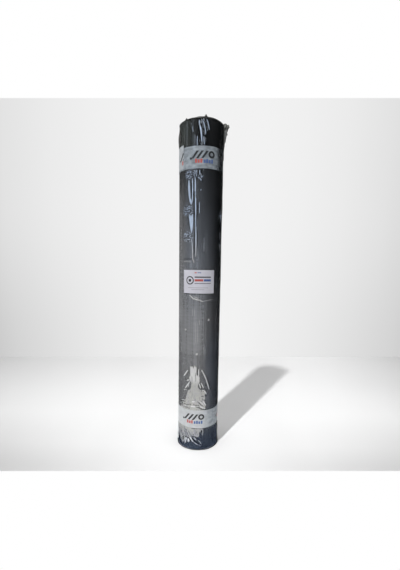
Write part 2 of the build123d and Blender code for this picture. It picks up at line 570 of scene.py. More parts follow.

# Each streak has its half width in mm, its strength and a bent line of (azimuth, height in mm).
# Sharp folds, raised in the relief, with painted highlights along them
BRIGHT_STREAKS = (
    # Between the rim and the upper tape
    (1.3, 1.20, (11.5, 998), (15.5, 987), (17, 980), (18.5, 971)),
    (1.5, 1.04, (2, 993), (5, 986), (7.5, 977), (9.4, 966), (10, 958)),
    (1.8, 0.85, (-6, 993), (-5.5, 984), (-4, 978)),
    (2.4, 1.05, (-4.6, 981), (-2.5, 973), (-1.3, 965), (0.2, 952)), (1.8, 0.98, (-0.6, 956), (1, 939)),
    (1.3, 0.78, (4.4, 951), (6.3, 939), (7.5, 930)), (1.1, 0.52, (-22.5, 979), (-21, 965)),
    (1.1, 0.25, (-27, 988), (-26, 983)), (1.1, 1.10, (-10.2, 953), (-10.2, 928)),
    (3.0, 0.16, (-16, 956), (-16, 928)), (4.0, 0.85, (-18, 926), (-18, 893)),
    (3.5, 0.75, (-34, 873), (-6, 873)), (2.2, 0.12, (-38.5, 996), (-38.5, 930)),
    (1.5, 0.10, (-46, 990), (-46, 940)),
    # From the upper tape down to the sticker
    (1.4, 0.78, (-15, 860), (-14.5, 840), (-14.5, 806)), (2.1, 0.55, (-7, 844), (1, 837)),
    (3.8, 0.70, (-31.5, 836), (-30.5, 810), (-28.5, 786)),
    (1.4, 1.23, (-21.5, 842), (-20.6, 810), (-21.5, 776)), (4.0, 0.65, (-28, 786), (-24, 772)),
    (1.1, 0.78, (-13.2, 838), (-13, 775)), (1.1, 1.10, (-12.7, 800), (-11, 640)),
    (1.8, 1.23, (-12.8, 790), (-12.2, 755), (-12, 736)),
    (1.5, 1.10, (-11.2, 706), (-10.7, 660), (-10.8, 622)), (1.1, 0.98, (-3, 774), (-3, 747)),
    (1.3, 0.8, (-0.5, 812), (0.5, 809)), (3.4, 0.65, (-29, 741), (-25.5, 716), (-22.5, 692)),
    (2.6, 0.65, (-20.5, 741), (-21, 716), (-22, 696)),
    (1.4, 0.72, (-22, 672), (-20, 649), (-19, 616), (-15, 604)),
    (3.6, 0.55, (-24.5, 739), (-23.5, 716), (-22.4, 702)), (3.2, 0.16, (-46, 607), (-24, 607)),
    (1.3, 0.2, (10, 678), (10, 635)), (4.0, 0.06, (17, 700), (17, 630)),
    (4.4, 0.20, (67, 757), (67, 726)), (4.0, 0.22, (64, 695), (64, 677)),
    (2.5, 0.12, (66, 657), (66, 630)), (1.2, 0.85, (-11, 864), (-11, 846)),
    (1.3, 0.8, (-3.5, 864), (-3, 850)), (1.3, 0.8, (-3, 842), (0, 835)),
    (1.6, 0.3, (-40, 762), (-24, 759)), (1.5, 0.28, (-44, 746), (-30, 749)),
    (1.6, 0.28, (-45, 686), (-24, 688)), (1.4, 0.25, (-38, 676), (-23, 679)),
    (2.0, 0.3, (-37, 852), (-24, 845)), (1.5, 0.25, (-34, 861), (-20, 858)),
    # Under the sticker
    (1.8, 0.62, (-27, 506), (-22.5, 503), (-17, 497), (-7.5, 494), (1, 492), (8, 488.5)),
    (1.5, 0.22, (8, 488.5), (20, 491), (40, 495)), (1.2, 0.35, (-15, 502), (-2.5, 498)),
    (1.8, 0.12, (-18, 465), (-18, 444)), (1.4, 0.12, (-12.5, 465), (-12.5, 444)),
    (1.3, 0.12, (-9, 425), (-9, 358)), (1.3, 0.12, (-4, 425), (-4, 358)),
    (1.2, 0.2, (1, 431), (1.5, 416)), (4.5, 0.07, (15, 346), (15, 310)),
    (2.1, 0.75, (25, 431), (28, 430)), (2.6, 0.32, (-41, 398), (-37, 399)),
    (2.6, 0.85, (-7, 323), (-3, 325)),
    # Round the fan above the lower tape
    (2.0, 1.15, (-31, 268), (-36, 259), (-43.5, 247.5)),
    (1.6, 1.3, (9, 272), (15, 258), (21, 243), (27, 222), (31.5, 206)),
    (2.0, 0.75, (-17, 166), (-9.5, 166.5)), (1.9, 0.65, (-20, 149.5), (-8, 149.5)),
    (1.3, 0.5, (6, 151), (13, 146), (21, 142)), (1.3, 0.45, (14, 168), (20, 158), (23, 153)),
    (1.2, 0.35, (3, 170), (10, 162), (16, 155)), (1.2, 0.3, (-42, 146), (-36, 149)),
    (1.2, 0.3, (-52, 163), (-37, 166)), (1.2, 0.3, (-5, 152), (2, 152)),
    # Foot
    (1.3, 0.35, (-21, 41), (-18, 36), (-13, 29)), (1.2, 0.25, (-9, 40), (-5, 36)),
    (1.2, 0.2, (-9, 26), (0, 19), (8, 15.5)), (1.8, 0.16, (-26, 12), (-14, 9)),
    (1.2, 0.2, (-37, 27), (-37, 20)),
)
# Hollows, sunk a little in the relief, with painted shade along them where the film is made clear over the
# dark felt. Some are painted shadow lines along the tapes' and the sticker's edges.
DARK_STREAKS = (
    (1.3, 1.0, (9.5, 999), (11, 982), (13, 964)), (1.3, 0.9, (20.5, 992), (21, 970)),
    (1.4, 0.9, (2, 984), (4.5, 953)), (1.2, 0.8, (12, 984), (11.5, 962)),
    (1.5, 0.9, (-9, 986), (-6.5, 966), (-5, 953), (-2.5, 940)), (1.2, 0.7, (-13, 955), (-13, 930)),
    (1.2, 0.7, (-7, 952), (-7, 930)), (1.4, 0.9, (-47, 862), (-43, 849)),
    (1.5, 1.0, (-8, 864), (-7.5, 850)), (1.5, 1.0, (1.5, 864), (2, 848)),
    (1.4, 0.9, (-14, 852), (-13, 842)), (1.3, 0.9, (3, 838), (5, 830)),
    (1.5, 0.9, (-10, 846), (-9, 836)), (1.5, 0.8, (4, 845), (5, 835)),
    (1.3, 1.0, (-25, 824), (-24, 786)), (1.3, 1.0, (-17.5, 838), (-17.5, 788)),
    (1.6, 0.9, (-17, 782), (-16.5, 735)), (1.2, 0.9, (-8, 772), (-7, 735)),
    (1.0, 0.8, (-7, 692), (-7, 648)), (1.2, 0.8, (-15, 700), (-15, 630)),
    (0.9, 0.8, (-45, 756), (-24, 752)), (0.9, 0.8, (-44, 766), (-30, 767)),
    (1.0, 0.7, (-36, 741), (-31, 712), (-27, 694)), (1.0, 0.8, (-46, 681), (-26, 684)),
    (1.2, 0.7, (-47, 615), (-22, 615)), (1.1, 0.75, (-44, 510.5), (40, 510.5)),
    (1.2, 0.7, (2, 866.2), (40, 866.2), (76, 866.2)), (1.2, 0.6, (5, 929.8), (40, 929.8), (76, 929.8)),
    (1.1, 0.75, (-44, 584.5), (40, 584.5)), (1.5, 0.9, (42.6, 584), (42.6, 513)),
    (1.8, 0.7, (32, 431), (33, 428)),
    # Round the fan and in it
    (1.4, 0.9, (24, 250), (27, 240), (31, 228), (34, 217), (38, 205)),
    (1.2, 0.5, (10, 259), (14, 250), (19, 232), (22, 217)), (1.3, 0.7, (17, 212), (21, 205), (25, 200)),
    (1.1, 0.8, (19, 190), (24, 187)), (1.6, 0.5, (-26, 276), (-25.5, 255)),
    (1.4, 0.5, (-29, 246), (-28, 240)), (1.3, 0.6, (-42, 235), (-34, 238)),
    (1.2, 0.5, (-28, 262), (-33, 251)), (1.1, 0.9, (-2.8, 279), (-2.8, 254)),
    (1.3, 0.9, (-22, 232.5), (-22, 228)), (1.3, 0.85, (-23, 224), (-24, 213), (-29, 205.5), (-35, 206)),
    (1.0, 0.6, (-31, 216), (-31, 213)), (1.2, 0.9, (5.5, 227), (7.5, 221), (10, 214), (12.5, 210)),
    (1.2, 0.9, (0.5, 223), (1.5, 214), (6, 208)), (1.2, 0.8, (9.5, 203), (10.5, 201.5)),
    (1.2, 0.8, (14.5, 202.5), (15.5, 200.5)), (1.1, 0.8, (9, 185.5), (16, 184.5)),
    (1.1, 0.7, (12, 177), (15.5, 170)), (1.3, 0.85, (17, 173), (21, 163), (26, 157)),
    (1.0, 0.5, (-28, 178), (-25, 174)), (1.2, 0.8, (-3, 168), (3, 163), (8, 156), (13, 153)),
    (1.2, 0.75, (-13, 157), (-8, 155.5), (2, 155)), (1.2, 0.8, (-44, 152), (-33, 153), (-20, 157.5)),
    (1.2, 0.75, (-57, 159), (-48, 160), (-38, 163)), (1.1, 0.7, (-51, 146), (-42, 153)),
    (1.3, 0.85, (-6, 150), (3, 147), (8, 142.5), (16, 140.5)), (1.0, 0.5, (5, 170), (12, 166)),
    (1.0, 0.4, (-20, 204), (-24, 194)), (1.0, 0.4, (-9, 178), (-6, 170)),
    (1.3, 0.7, (14, 141), (24, 139.5), (45, 139.5)), (1.1, 0.6, (-62, 142), (-40, 144), (-24, 143)),
    (1.0, 0.5, (-14, 283), (-13.5, 277)), (1.0, 0.35, (-18, 250), (-17, 225)),
    (1.0, 0.35, (-8, 262), (-7, 235)),
    # Foot
    (1.6, 0.95, (-38, 41), (-32, 40.5), (-26, 39.5), (-22, 34), (-20, 26)),
    (1.7, 1.0, (-15, 41), (-11, 36), (-6, 29), (0, 25), (6, 21), (9.5, 18.5)),
    (1.5, 0.85, (-18, 43), (-10, 47), (-3, 43), (3, 38.5), (7, 35)), (1.4, 0.7, (0, 35), (-0.5, 32)),
    (1.6, 0.8, (-45, 37), (-45, 26)), (1.5, 0.8, (5.5, 63), (6.5, 55), (8, 46)),
    (1.6, 0.9, (10.5, 69), (11, 62)), (1.3, 0.6, (-18, 73.5), (0, 75), (13, 74.5)),
    (1.4, 0.6, (-39, 57.5), (-36, 56)), (1.3, 0.5, (-34, 66), (-31, 64)),
    (1.3, 0.5, (-27, 61), (-23, 58)), (1.4, 0.5, (-15, 55), (-11, 53)),
    (1.3, 0.6, (-32, 31), (-32, 23)), (2.4, 0.6, (-68, 40), (-66, 28), (-66, 14)),
    (1.5, 0.6, (20, 75), (20, 60)), (1.3, 0.5, (-50, 34), (-50, 26)),
)
# Patches of cloudy, gathered film beside the fan, pale also as a painted reflection
CLOUDY_AND_PAINTED_REFLECTION_STREAKS = (
    (1.9, 0.95, (0.3, 275), (0.8, 254)), (2.4, 0.85, (-33, 233.5), (-26.5, 238)),
    (1.6, 0.35, (-50, 190), (-45, 196)), (2.1, 0.95, (-24.5, 231), (-31, 220), (-38, 208)),
    (2.2, 0.55, (-27, 226), (-29, 214)), (1.6, 0.8, (-44, 199.5), (-38, 203), (-33, 203)),
    (1.7, 0.95, (3, 228.5), (4.5, 221), (6.5, 213)), (1.8, 0.95, (8, 230), (11, 222), (14.5, 213)),
    (2.8, 0.9, (12, 206), (18, 201), (23, 192)), (1.6, 0.8, (-57, 162), (-46, 165), (-36, 166.5)),
    (1.6, 0.7, (-54, 156), (-42, 159)), (1.6, 0.6, (-64, 149), (-50, 155)),
    (1.5, 0.7, (-57, 145), (-47, 149)), (1.5, 0.5, (-70, 143), (-60, 148)),
    (1.6, 0.8, (5, 151), (13, 146), (21, 142)), (2.0, 0.85, (-55, 42), (-55, 31)),
    (2.1, 0.95, (-37.5, 34), (-36.5, 20)), (2.3, 0.95, (-27, 36), (-26, 25)),
    (3.2, 0.9, (-35, 37), (-31, 31)), (2.6, 1.0, (-21.5, 43), (-18, 36), (-12, 27.5)),
    (3.4, 0.8, (-10, 41), (-4, 36)), (1.8, 0.6, (-10, 26.5), (-4, 22), (3, 17.5), (8, 15.5)),
    (1.9, 0.75, (2, 35), (6, 30), (10, 21)), (2.0, 0.75, (14.5, 73), (14.5, 60), (13.5, 52)),
)
# Crumpled spots: azimuth, height, reach and rise in mm
CRUMPLES = (
    (-34, 754, 17, 1.0), (-34, 679, 16, 0.8), (-32, 852, 14, 0.8), (-16, 855, 9, 0.8),
    (-2, 845, 9, 0.8), (66, 741, 12, 0.9), (70, 655, 12, 0.6),
)
# Sides of the fan of gathered film at the front, pale also as a painted reflection: height in mm, azimuth
FAN_LEFT = (
    (12, -48), (20, -54), (30, -62), (38, -72), (50, -84), (77, -88), (137, -62), (146, -50),
    (158, -47), (165, -42), (170, -39), (178, -36), (186, -34), (196, -31.5), (203, -28), (206, -24),
    (212, -21), (225, -20), (232, -22), (240, -26), (246, -27), (252, -24), (284, -24.5),
)
FAN_RIGHT = (
    (12, -26), (28, -20), (35, -18), (40, -12), (43, -4), (46, 3), (56, 6), (60, 8), (66, 10), (74, 14),
    (77, 17), (137, 18), (143, 21), (150, 22), (154, 24), (160, 21), (167, 20), (183, 20), (189, 18),
    (192, 22), (197, 20), (203, 15), (208, 6), (214, 2), (222, 0.5), (229, 2), (232, 4), (250, 4),
    (254, 2.5), (258, -4), (279, -4), (286, -5),
)
# Height of the fan's top edge by azimuth, and the sides that its strands follow
FAN_TOP = (
    (-25, 283), (-15, 284), (-13.8, 279), (-12, 284), (-10.5, 289), (-9, 285), (-5, 282), (-4, 280),
)
STRANDS_LEFT = ((14, -52), (77, -80), (137, -66), (170, -39), (206, -25), (290, -25))
STRANDS_RIGHT = ((14, 20), (77, 14), (137, 26), (170, 22), (206, 8), (290, 3))
# How cloudy the smooth film is, by height in mm and by azimuth. It is painted light too: paler low down and
# at the left front, darker at the right and the top.
PAINTED_LIGHT_AND_HAZE_BY_HEIGHT = (
    (0, 0.22), (60, 0.26), (90, 0.75), (250, 0.76), (312, 0.84), (318, 0.80), (325, 1.0), (350, 1.06),
    (440, 1.06), (480, 0.92), (600, 0.74), (680, 0.57), (735, 0.46), (800, 0.34), (838, 0.24),
    (930, 0.10), (1003, 0.06),
)
PAINTED_LIGHT_AND_HAZE_BY_AZIMUTH = (
    (-180, 0.4), (-100, 0.84), (-49, 0.93), (-21, 1.12), (-8, 1.2), (1, 1.1), (12, 0.84), (24, 0.58),
    (37, 0.33), (50, 0.165), (58, 0.085), (75, 0.0), (110, 0.1), (180, 0.4),
)
# Patches where it is cloudier still, paler also as painted light: strength, azimuth, half width and power of
# its fading, and the heights in mm where the patch starts, is full, fades and ends. One that starts below 0
# reaches down to the foot.
PAINTED_LIGHT_AND_HAZE_PATCHES = (
    (0.24, -67, 13, 2, (380, 460, 780, 840)), (0.04, 54, 8, 2, (-20, -10, 450, 600)),
    (0.08, 24, 12, 2, (550, 600, 720, 780)), (0.15, 52, 20, 4, (-20, -10, 65, 80)),
)
# How far the film puffs up over the top rim, in mm by azimuth
RIM_PUFF = (
    (-180, 1), (-90, 0), (-62, -1.0), (-48, -0.6), (-36, 0.4), (-18, 1.0), (-12, 1.5), (-8, 2.6),
    (12, 2.8), (30, 2.8), (42, 2.0), (58, 1), (68, 1.6), (90, 1), (180, 1),
)
# Tufts that stand up from the rim: azimuth, half width in degrees, height in mm
RIM_TUFTS = ((10.5, 2.6, 6.5), (-42.5, 2.8, 4.5), (118, 4, 4), (-128, 3, 3.4), (172, 4, 3))


def streak(azimuth, height, half_width, line):
    """How much each point belongs to a streak: 1 on its crest, less at its sides, thinner at its ends."""
    centre, level = line[0]

    def flat(place_azimuth, place_height):
        across = np.radians(turned_to(np.asarray(place_azimuth), centre)) * FELT_RADIUS / MM
        return across, np.asarray(place_height) - level

    x, y = flat(azimuth, height / MM)
    corners = [flat(*corner) for corner in line]
    lengths = [math.dist(p, q) for p, q in zip(corners, corners[1:])]
    total, done = sum(lengths), 0.0
    crest = np.zeros(np.shape(x))
    for (x0, y0), (x1, y1), length in zip(corners, corners[1:], lengths):
        along = np.clip(((x - x0) * (x1 - x0) + (y - y0) * (y1 - y0)) / length**2, 0, 1)
        off = np.hypot(x - x0 - along * (x1 - x0), y - y0 - along * (y1 - y0))
        share = (done + along * length) / total
        width = half_width * (0.55 + 0.45 * np.sqrt(np.clip(4 * share * (1 - share), 0, 1)))
        crest = np.maximum(crest, np.exp(-((off / width) ** 4)))
        done += length
    return crest


def gather_streaks(azimuth, height, streaks):
    """The strongest of these streaks at each place."""
    field = np.zeros(azimuth.shape)
    for half_width, strength, *line in streaks:
        sides = [turned_to(a, line[0][0]) for a, _ in line]
        levels = [h * MM for _, h in line]
        from_start = turned_to(azimuth, line[0][0])
        margin = 2.4 * half_width
        near = (from_start > min(sides) - margin) & (from_start < max(sides) + margin)
        near &= (height > min(levels) - margin * MM) & (height < max(levels) + margin * MM)
        if near.any():
            found = strength * streak(azimuth[near], height[near], half_width, line)
            field[near] = np.maximum(field[near], found)
    return field


def random_folds():
    """Folds that spread from the tapes' edges and the rims all round, and long ones at the back."""
    draw = np.random.RandomState(41)
    # Height of each edge, the way its folds run, how many there are and their reach in mm
    edges = (
        (UPPER_TAPE_TOP, 1, 34, 55), (UPPER_TAPE_BASE, -1, 44, 95),
        (LOWER_TAPE_TOP, 1, 48, 120), (LOWER_TAPE_BASE, -1, 44, 60),
        (ROLL_TOP - RIM_ROUND, -1, 52, 45), (RIM_ROUND, 1, 40, 30),
    )
    folds = []
    for level, way, count, reach in edges:
        for number in range(count):
            azimuth = (number + draw.uniform(-0.4, 0.4)) * 360 / count
            length = reach * draw.uniform(0.25, 1.0)
            lean, bend = draw.normal(0, 9), draw.normal(0, 4)
            start = level / MM + way * draw.uniform(-2, 4)
            middle = (azimuth + lean * 0.5 + bend, start + way * length * 0.5)
            end = (azimuth + lean, start + way * length)
            at_front = abs(turned_to(azimuth, FRONT_MIDDLE)) < 72
            strength = draw.uniform(0.35, 1.0) * (0.35 if at_front else 1.0)
            folds.append((draw.uniform(1.3, 2.6), strength, (azimuth, start), middle, end))
    for _ in range(16):
        azimuth, start, length = draw.uniform(105, 255), draw.uniform(190, 780), draw.uniform(40, 150)
        lean = draw.normal(0, 3)
        half_width, strength = draw.uniform(1.2, 2.4), draw.uniform(0.4, 0.9)
        folds.append((half_width, strength, (azimuth, start), (azimuth + lean, start + length)))
    return folds


def film_press(azimuth, height):
    """1 where a tape or the sticker presses the film flat."""
    def pressed(low, high):
        return between(height, low - 2 * MM, low + MM, high - MM, high + 2 * MM)

    tapes = np.maximum(pressed(UPPER_TAPE_BASE, UPPER_TAPE_TOP), pressed(LOWER_TAPE_BASE, LOWER_TAPE_TOP))
    behind_sticker = 1 - rise(np.abs(turned_to(azimuth, STICKER_AZIMUTH)), 43, 46)
    return np.maximum(tapes, behind_sticker * pressed(STICKER_BASE, STICKER_TOP))


def film_fan(azimuth, level):
    """Where the film is gathered and cloudy: in the fan at the front, pale also as a painted reflection, and
    under the lower tape all round.
    """
    side = np.minimum(azimuth - read_off(level, FAN_LEFT), read_off(level, FAN_RIGHT) - azimuth)
    fingers = 7 * noise_round(azimuth, 44, 110)
    top = read_off(azimuth, FAN_TOP)
    fan = 0.76 * rise(side, -1.6, 2.4) * rise(level + fingers, 13, 27)
    fan *= (1 - rise(level, top - 3, top + 2.5)) * (1 + 0.14 * rise(level, 205, 245))
    low, high = LOWER_TAPE_BASE / MM, LOWER_TAPE_TOP / MM
    band = between(level, low - 3, low + 2, high - 2, high + 3)
    band *= 0.95 + 0.05 * soft_noise(azimuth, level * MM, 15, 30, 0.02)
    thinner = 0.4 * rise(azimuth, 20, 60) + 0.2 * rise(azimuth, 50, 66)
    return np.maximum(fan, band * (1 - thinner * (1 - rise(azimuth, 80, 120))))


def film_slack(azimuth, height):
    """How loosely the film lies, in large, middling and small waves."""
    return 0.15 + (
        0.55 * soft_noise(azimuth, height, 3, 15, 0.19)
        + 0.30 * soft_noise(azimuth, height, 4, 34, 0.085)
        + 0.15 * soft_noise(azimuth, height, 6, 80, 0.03)
    )


def film_crumples(azimuth, height):
    """Where the crumpled spots are, and how far they stand up, in mm."""
    spots, lift = np.zeros(azimuth.shape), np.zeros(azimuth.shape)
    facets = np.abs(soft_noise(azimuth, height, 77, 96, 0.0055))
    facets = facets + np.abs(soft_noise(azimuth, height, 78, 70, 0.009))
    for centre, level, reach, tall in CRUMPLES:
        across = np.radians(turned_to(azimuth, centre)) * FELT_RADIUS / MM
        inside = np.exp(-((np.hypot(across, (height / MM - level) * 1.1) / reach) ** 4))
        spots = np.maximum(spots, inside)
        lift += inside * facets * tall
    return spots, lift


def film_wall(settings, azimuth, height):
    """How far the film stands off the felt on the roll's side, and the numbers that its material reads."""
    level, front = height / MM, turned_to(azimuth, 0)
    at_back = rise(np.abs(turned_to(azimuth, FRONT_MIDDLE)), 84, 112)
    press = film_press(azimuth, height)
    bright = gather_streaks(azimuth, height, BRIGHT_STREAKS)
    # Painted shade in a halo beside the painted highlights
    wider = [(2.2 * half_width, *rest) for half_width, *rest in BRIGHT_STREAKS]
    beside = np.clip(gather_streaks(azimuth, height, wider) - 1.2 * bright, 0, 1)
    dark = gather_streaks(azimuth, height, DARK_STREAKS)
    dark = np.maximum(dark, beside * (0.35 + 0.55 * rise(level, 560, 620)))
    milk_and_painted_reflection = gather_streaks(azimuth, height, CLOUDY_AND_PAINTED_REFLECTION_STREAKS)
    folds = gather_streaks(azimuth, height, random_folds())
    crumple, crumple_lift = film_crumples(azimuth, height)

    # The film stands up on folds and crumples, in a bulge at the left above the upper tape, and at the foot
    bulge = bell(azimuth, -86, 15) * between(level - UPPER_TAPE_TOP / MM, 5, 29, 37, 60)
    off = settings.slack * film_slack(azimuth, height) + settings.wrinkle * np.maximum(folds, 0.9 * bright)
    off += (0.3 * (milk_and_painted_reflection - dark) + crumple_lift + BULGE_RISE * bulge) * MM
    off += (1 - rise(level, 4, 42)) * (0.7 + 0.9 * soft_noise(azimuth, height, 9, 13, 0.5)) * MM
    off += FOOT_FLARE * MM * (1 - rise(level, 4, 18)) * (1 - rise(np.abs(turned_to(azimuth, 5)), 68, 100))
    off += FOOT_PUFF * MM * bell(azimuth, -80, 22) * np.exp(-(((level - 15) / 16) ** 2))
    off = np.maximum(off, -0.2 * MM)
    off = off * (1 - press) + np.clip(off, -0.1 * MM, 0.2 * MM) * press

    # Painted shade: where it bulges, at the right beside its free edge, and along the rim and the foot
    puffed = rise(bulge, 0.02, 0.2)
    beside_edge = bell(azimuth, 88, 11, 4)
    rim_line = ROLL_TOP / MM - 6.4 + 1.6 * noise_round(azimuth, 37, 33)
    toe = 4 + 2 * noise_round(azimuth, 38, 40)
    for shade in (
        0.93 * puffed, 0.9 * beside_edge, 0.95 * rise(level, rim_line, rim_line + 2.0),
        0.95 * (1 - rise(level, toe - 2, toe + 2)),
    ):
        dark = np.maximum(dark, shade)

    lie = (1 - press) * (1 - dark * 0.8)
    left, right = read_off(level, STRANDS_LEFT), read_off(level, STRANDS_RIGHT)
    return off, {
        "crease": np.maximum(folds**2 * (1 + 2.0 * at_back), 0.3 * bright) * lie,
        "bright": bright * (1 - dark * 0.8),
        "dark": dark * (1 - press),
        "milk_and_painted_reflection": np.maximum(film_fan(front, level), milk_and_painted_reflection) * (1 - 0.9 * dark * (1 - press)),
        "fibre": np.clip((front - left) / (right - left), 0, 1),
        "loose": np.maximum(puffed, 0.9 * beside_edge),
        "crumple": crumple * lie,
    }


def film_haze_and_painted_light(azimuth, height):
    """How cloudy the smooth film is, painted light included: most at the left front and low down, least at
    the right and the top.
    """
    level, front = height / MM, turned_to(azimuth, 0)
    lean = 13 * rise(level, 450, 750)
    share = read_off(level, PAINTED_LIGHT_AND_HAZE_BY_HEIGHT) * read_off(turned_to(azimuth + lean, 0), PAINTED_LIGHT_AND_HAZE_BY_AZIMUTH)
    for strength, centre, half_width, power, levels in PAINTED_LIGHT_AND_HAZE_PATCHES:
        share = share + strength * bell(azimuth, centre, half_width, power) * between(level, *levels)
    over_tape = level - UPPER_TAPE_TOP / MM
    share = share + 0.13 * between(front, -120, -95, -42, -24) * rise(over_tape, -8, 7)
    share = share * (1 - 0.95 * bell(azimuth, FRONT_MIDDLE, 17, 4) * rise(over_tape, -3, 7))
    return share * (1 + 0.16 * soft_noise(azimuth, height, 12, 60, 0.30))


def film_rim(azimuth, rest, off, top):
    """Rows of points that carry the film round the felt's rim, from its end out to its side."""
    turn = np.radians(np.linspace(90, 0, RIM_ROWS + 2)[1:-1])[:, None]
    bend = RIM_ROUND if top else FOOT_ROUND
    radius = rest - bend + (bend + off) * np.cos(turn)
    if not top:
        return around(azimuth, radius, FELT_BASE - FOOT_LAYERS + bend * (1 - np.sin(turn)))
    puff = read_off(turned_to(azimuth, 0), RIM_PUFF)
    for centre, half_width, tall in RIM_TUFTS:
        puff = puff + tall * bell(azimuth, centre, half_width)
    level = FELT_TOP + TOP_GAP - bend + (bend + puff * MM) * np.sin(turn)
    return around(azimuth, radius, level)


def film_end_fold(azimuth, rest, pleat, top, share):
    """Rows of points that fold the film in over the felt's end, from the rim to the round eye."""
    eye = EYE_RADIUS + (4.5 * noise_round(azimuth, 31, 17) + 2 * noise_round(azimuth, 32, 60)) * MM
    radius = (rest - RIM_ROUND) * (1 - share) + eye * share
    if top:
        lift = share * (1.2 + 3.2 * pleat + 1.2 * soft_noise(azimuth, share, 57, 29, 0.3))
        lift = lift + (1 - share) ** 2 * read_off(turned_to(azimuth, 0), RIM_PUFF)
        level = FELT_TOP + TOP_GAP + np.maximum(lift, 0) * MM
    else:
        level = FELT_BASE - FOOT_LAYERS * (1 - 0.5 * pleat * share)
    swirl = share * 7 * soft_noise(azimuth, share, 58, 19, 1.0)
    return around(azimuth + swirl, radius, level)


def film_sheet(settings):
    """The wound sheet's points, faces, map and the numbers that its material reads."""
    first, last = FILM_TURN[0], FILM_TURN[-1]
    azimuth = stepped(FILM_TURN, FILM_COLUMNS)[None, :]
    height = stepped(FILM_LEVELS, FILM_ROWS)[:, None]
    columns = azimuth.shape[1]
    rest = FILM_REST + ((azimuth - first) / (last - first) - 0.5) * FILM_CLIMB
    full_azimuth, full_height = np.broadcast_arrays(azimuth, height)
    off, numbers = film_wall(settings, full_azimuth, full_height)
    flutter = 0.9 + 0.8 * soft_noise(0 * azimuth + 40, height, 91, 7, 0.035)
    edge_lift = rise(azimuth, last - 7, last) * np.maximum(flutter, 0) * MM
    off = off + edge_lift * (1 - film_press(full_azimuth, full_height))

    share = np.linspace(0, 1, FOLD_ROWS)[:, None]
    pleat = np.abs(np.sin(np.radians(azimuth * END_PLEATS / 2) + 2.2 * noise_round(azimuth, 55, 23)))
    near_rim = 1 - rise(share, 0.2, 0.45)
    tufts = np.max([bell(azimuth, centre, half_width) for centre, half_width, _ in RIM_TUFTS], axis=0)
    foot_fold, top_fold = (film_end_fold(azimuth, rest, pleat, top, share) for top in (False, True))
    # From the lower eye up to the upper one: points, length on the map, and numbers for the material. Both
    # rims and the top fold near its rim carry painted shade.
    parts = (
        (foot_fold[::-1], FOLD_LENGTH, {"crease": pleat * 0.3}),
        (film_rim(azimuth, rest, off[0], False), RIM_LENGTH, {"dark": 0.95, "loose": 0.95}),
        (around(full_azimuth, rest + off, full_height), FELT_TOP - FELT_BASE, numbers),
        (
            film_rim(azimuth, rest, off[-1], True)[::-1], RIM_LENGTH,
            {"crease": 0.1, "dark": 0.95, "loose": np.maximum(0.95, tufts)},
        ),
        (top_fold, FOLD_LENGTH, {"crease": pleat**4 * 0.8, "dark": near_rim * 0.95, "loose": near_rim}),
    )
    points = np.concatenate([part for part, _, _ in parts])
    rows = len(points)
    path, start = [], 0.0
    for part, length, _ in parts:
        path.append(start + np.linspace(0, length, len(part)))
        start += length
    arc = np.broadcast_to(np.radians(azimuth) * FILM_REST, (rows, columns))
    path = np.broadcast_to(np.concatenate(path)[:, None], (rows, columns))
    fields = {"haze_and_painted_light": film_haze_and_painted_light(np.broadcast_to(azimuth, (rows, columns)), points[..., 2]).ravel()}
    for name in FILM_NUMBERS[:-1]:
        plain = 0.12 if name == "milk_and_painted_reflection" else 0.0
        values = [np.broadcast_to(own.get(name, plain), (len(part), columns)) for part, _, own in parts]
        fields[name] = np.concatenate(values).ravel()
    return points.reshape(-1, 3), grid_faces(columns, rows), np.stack([arc, path], -1).reshape(-1, 2), fields


def film_ear():
    """The loose top corner of the free edge, standing off the roll and folded back at its tip."""
    across, up, flap_up = 16, 56, 14
    share = np.linspace(0, 1, across)[None, :]
    tall = np.linspace(0, 1, up)[:, None]
    low, high = UPPER_TAPE_TOP - 22 * MM, ROLL_TOP + 4.5 * MM
    width = 1.0 + 12.8 * rise(tall, 0.12, 1.0) ** 1.5
    heading = math.radians(EAR_HEADING)
    out = np.array([math.cos(heading), math.sin(heading), 0])
    side = np.array([-math.sin(heading), math.cos(heading), 0])
    root = around(FILM_EDGE - 1 + 0 * tall, FILM_REST + 0.9 * MM, low + (high - low) * tall)
    ripple = (1.8 * np.sin(5.5 * share + 9 * tall) + 1.1 * np.sin(11 * share - 20 * tall + 1)) * share * tall
    ruffle = (0.8 * np.sin(38 * tall) + 0.6 * np.sin(61 * tall + 2)) * share * rise(tall, 0.25, 0.6)
    reach = (width + 2.5) * share - 2.5 + ruffle
    points = root + (reach * MM)[..., None] * out + (ripple * MM)[..., None] * side
    points[..., 2] += share * tall * (2.6 * np.sin(6 * share) + 1.0) * MM

    # The tip curls over and hangs down in front
    flap_tall = np.linspace(0, 1, flap_up)[:, None]
    down = flap_tall * (13 + 6 * np.sin(3 * share + 0.6))
    arch = 2.2 * np.sin(math.pi * flap_tall * 0.5) * (1 - 0.6 * share)
    curl = 3.0 * np.sin(math.pi * flap_tall * 0.8) + 0.9 * np.sin(14 * share + 6 * flap_tall)
    flap = points[-1][None, :, :] - (curl * MM)[..., None] * side
    flap = flap + (1.6 * MM * flap_tall * share)[..., None] * out
    flap[..., 2] += (arch - down) * MM

    rows = up + flap_up - 1
    arc = np.broadcast_to(share * 0.02 + 0.6, (rows, across))
    path = np.broadcast_to(np.linspace(0, 0.12, rows)[:, None], (rows, across))
    # Painted shade along the ear's outer hem and along its root
    outer_hem = rise(share, 0.72, 1.0) * (1 - rise(tall, 0.72, 0.86))
    hem = np.maximum(outer_hem, 0.9 * (1 - rise(share, 0.1, 0.3)))
    dark = np.concatenate([hem, np.zeros((flap_up - 1, across))])
    all_points = np.concatenate([points, flap[1:]]).reshape(-1, 3)
    return all_points, grid_faces(across, rows), np.stack([arc, path], -1).reshape(-1, 2), dark.ravel()


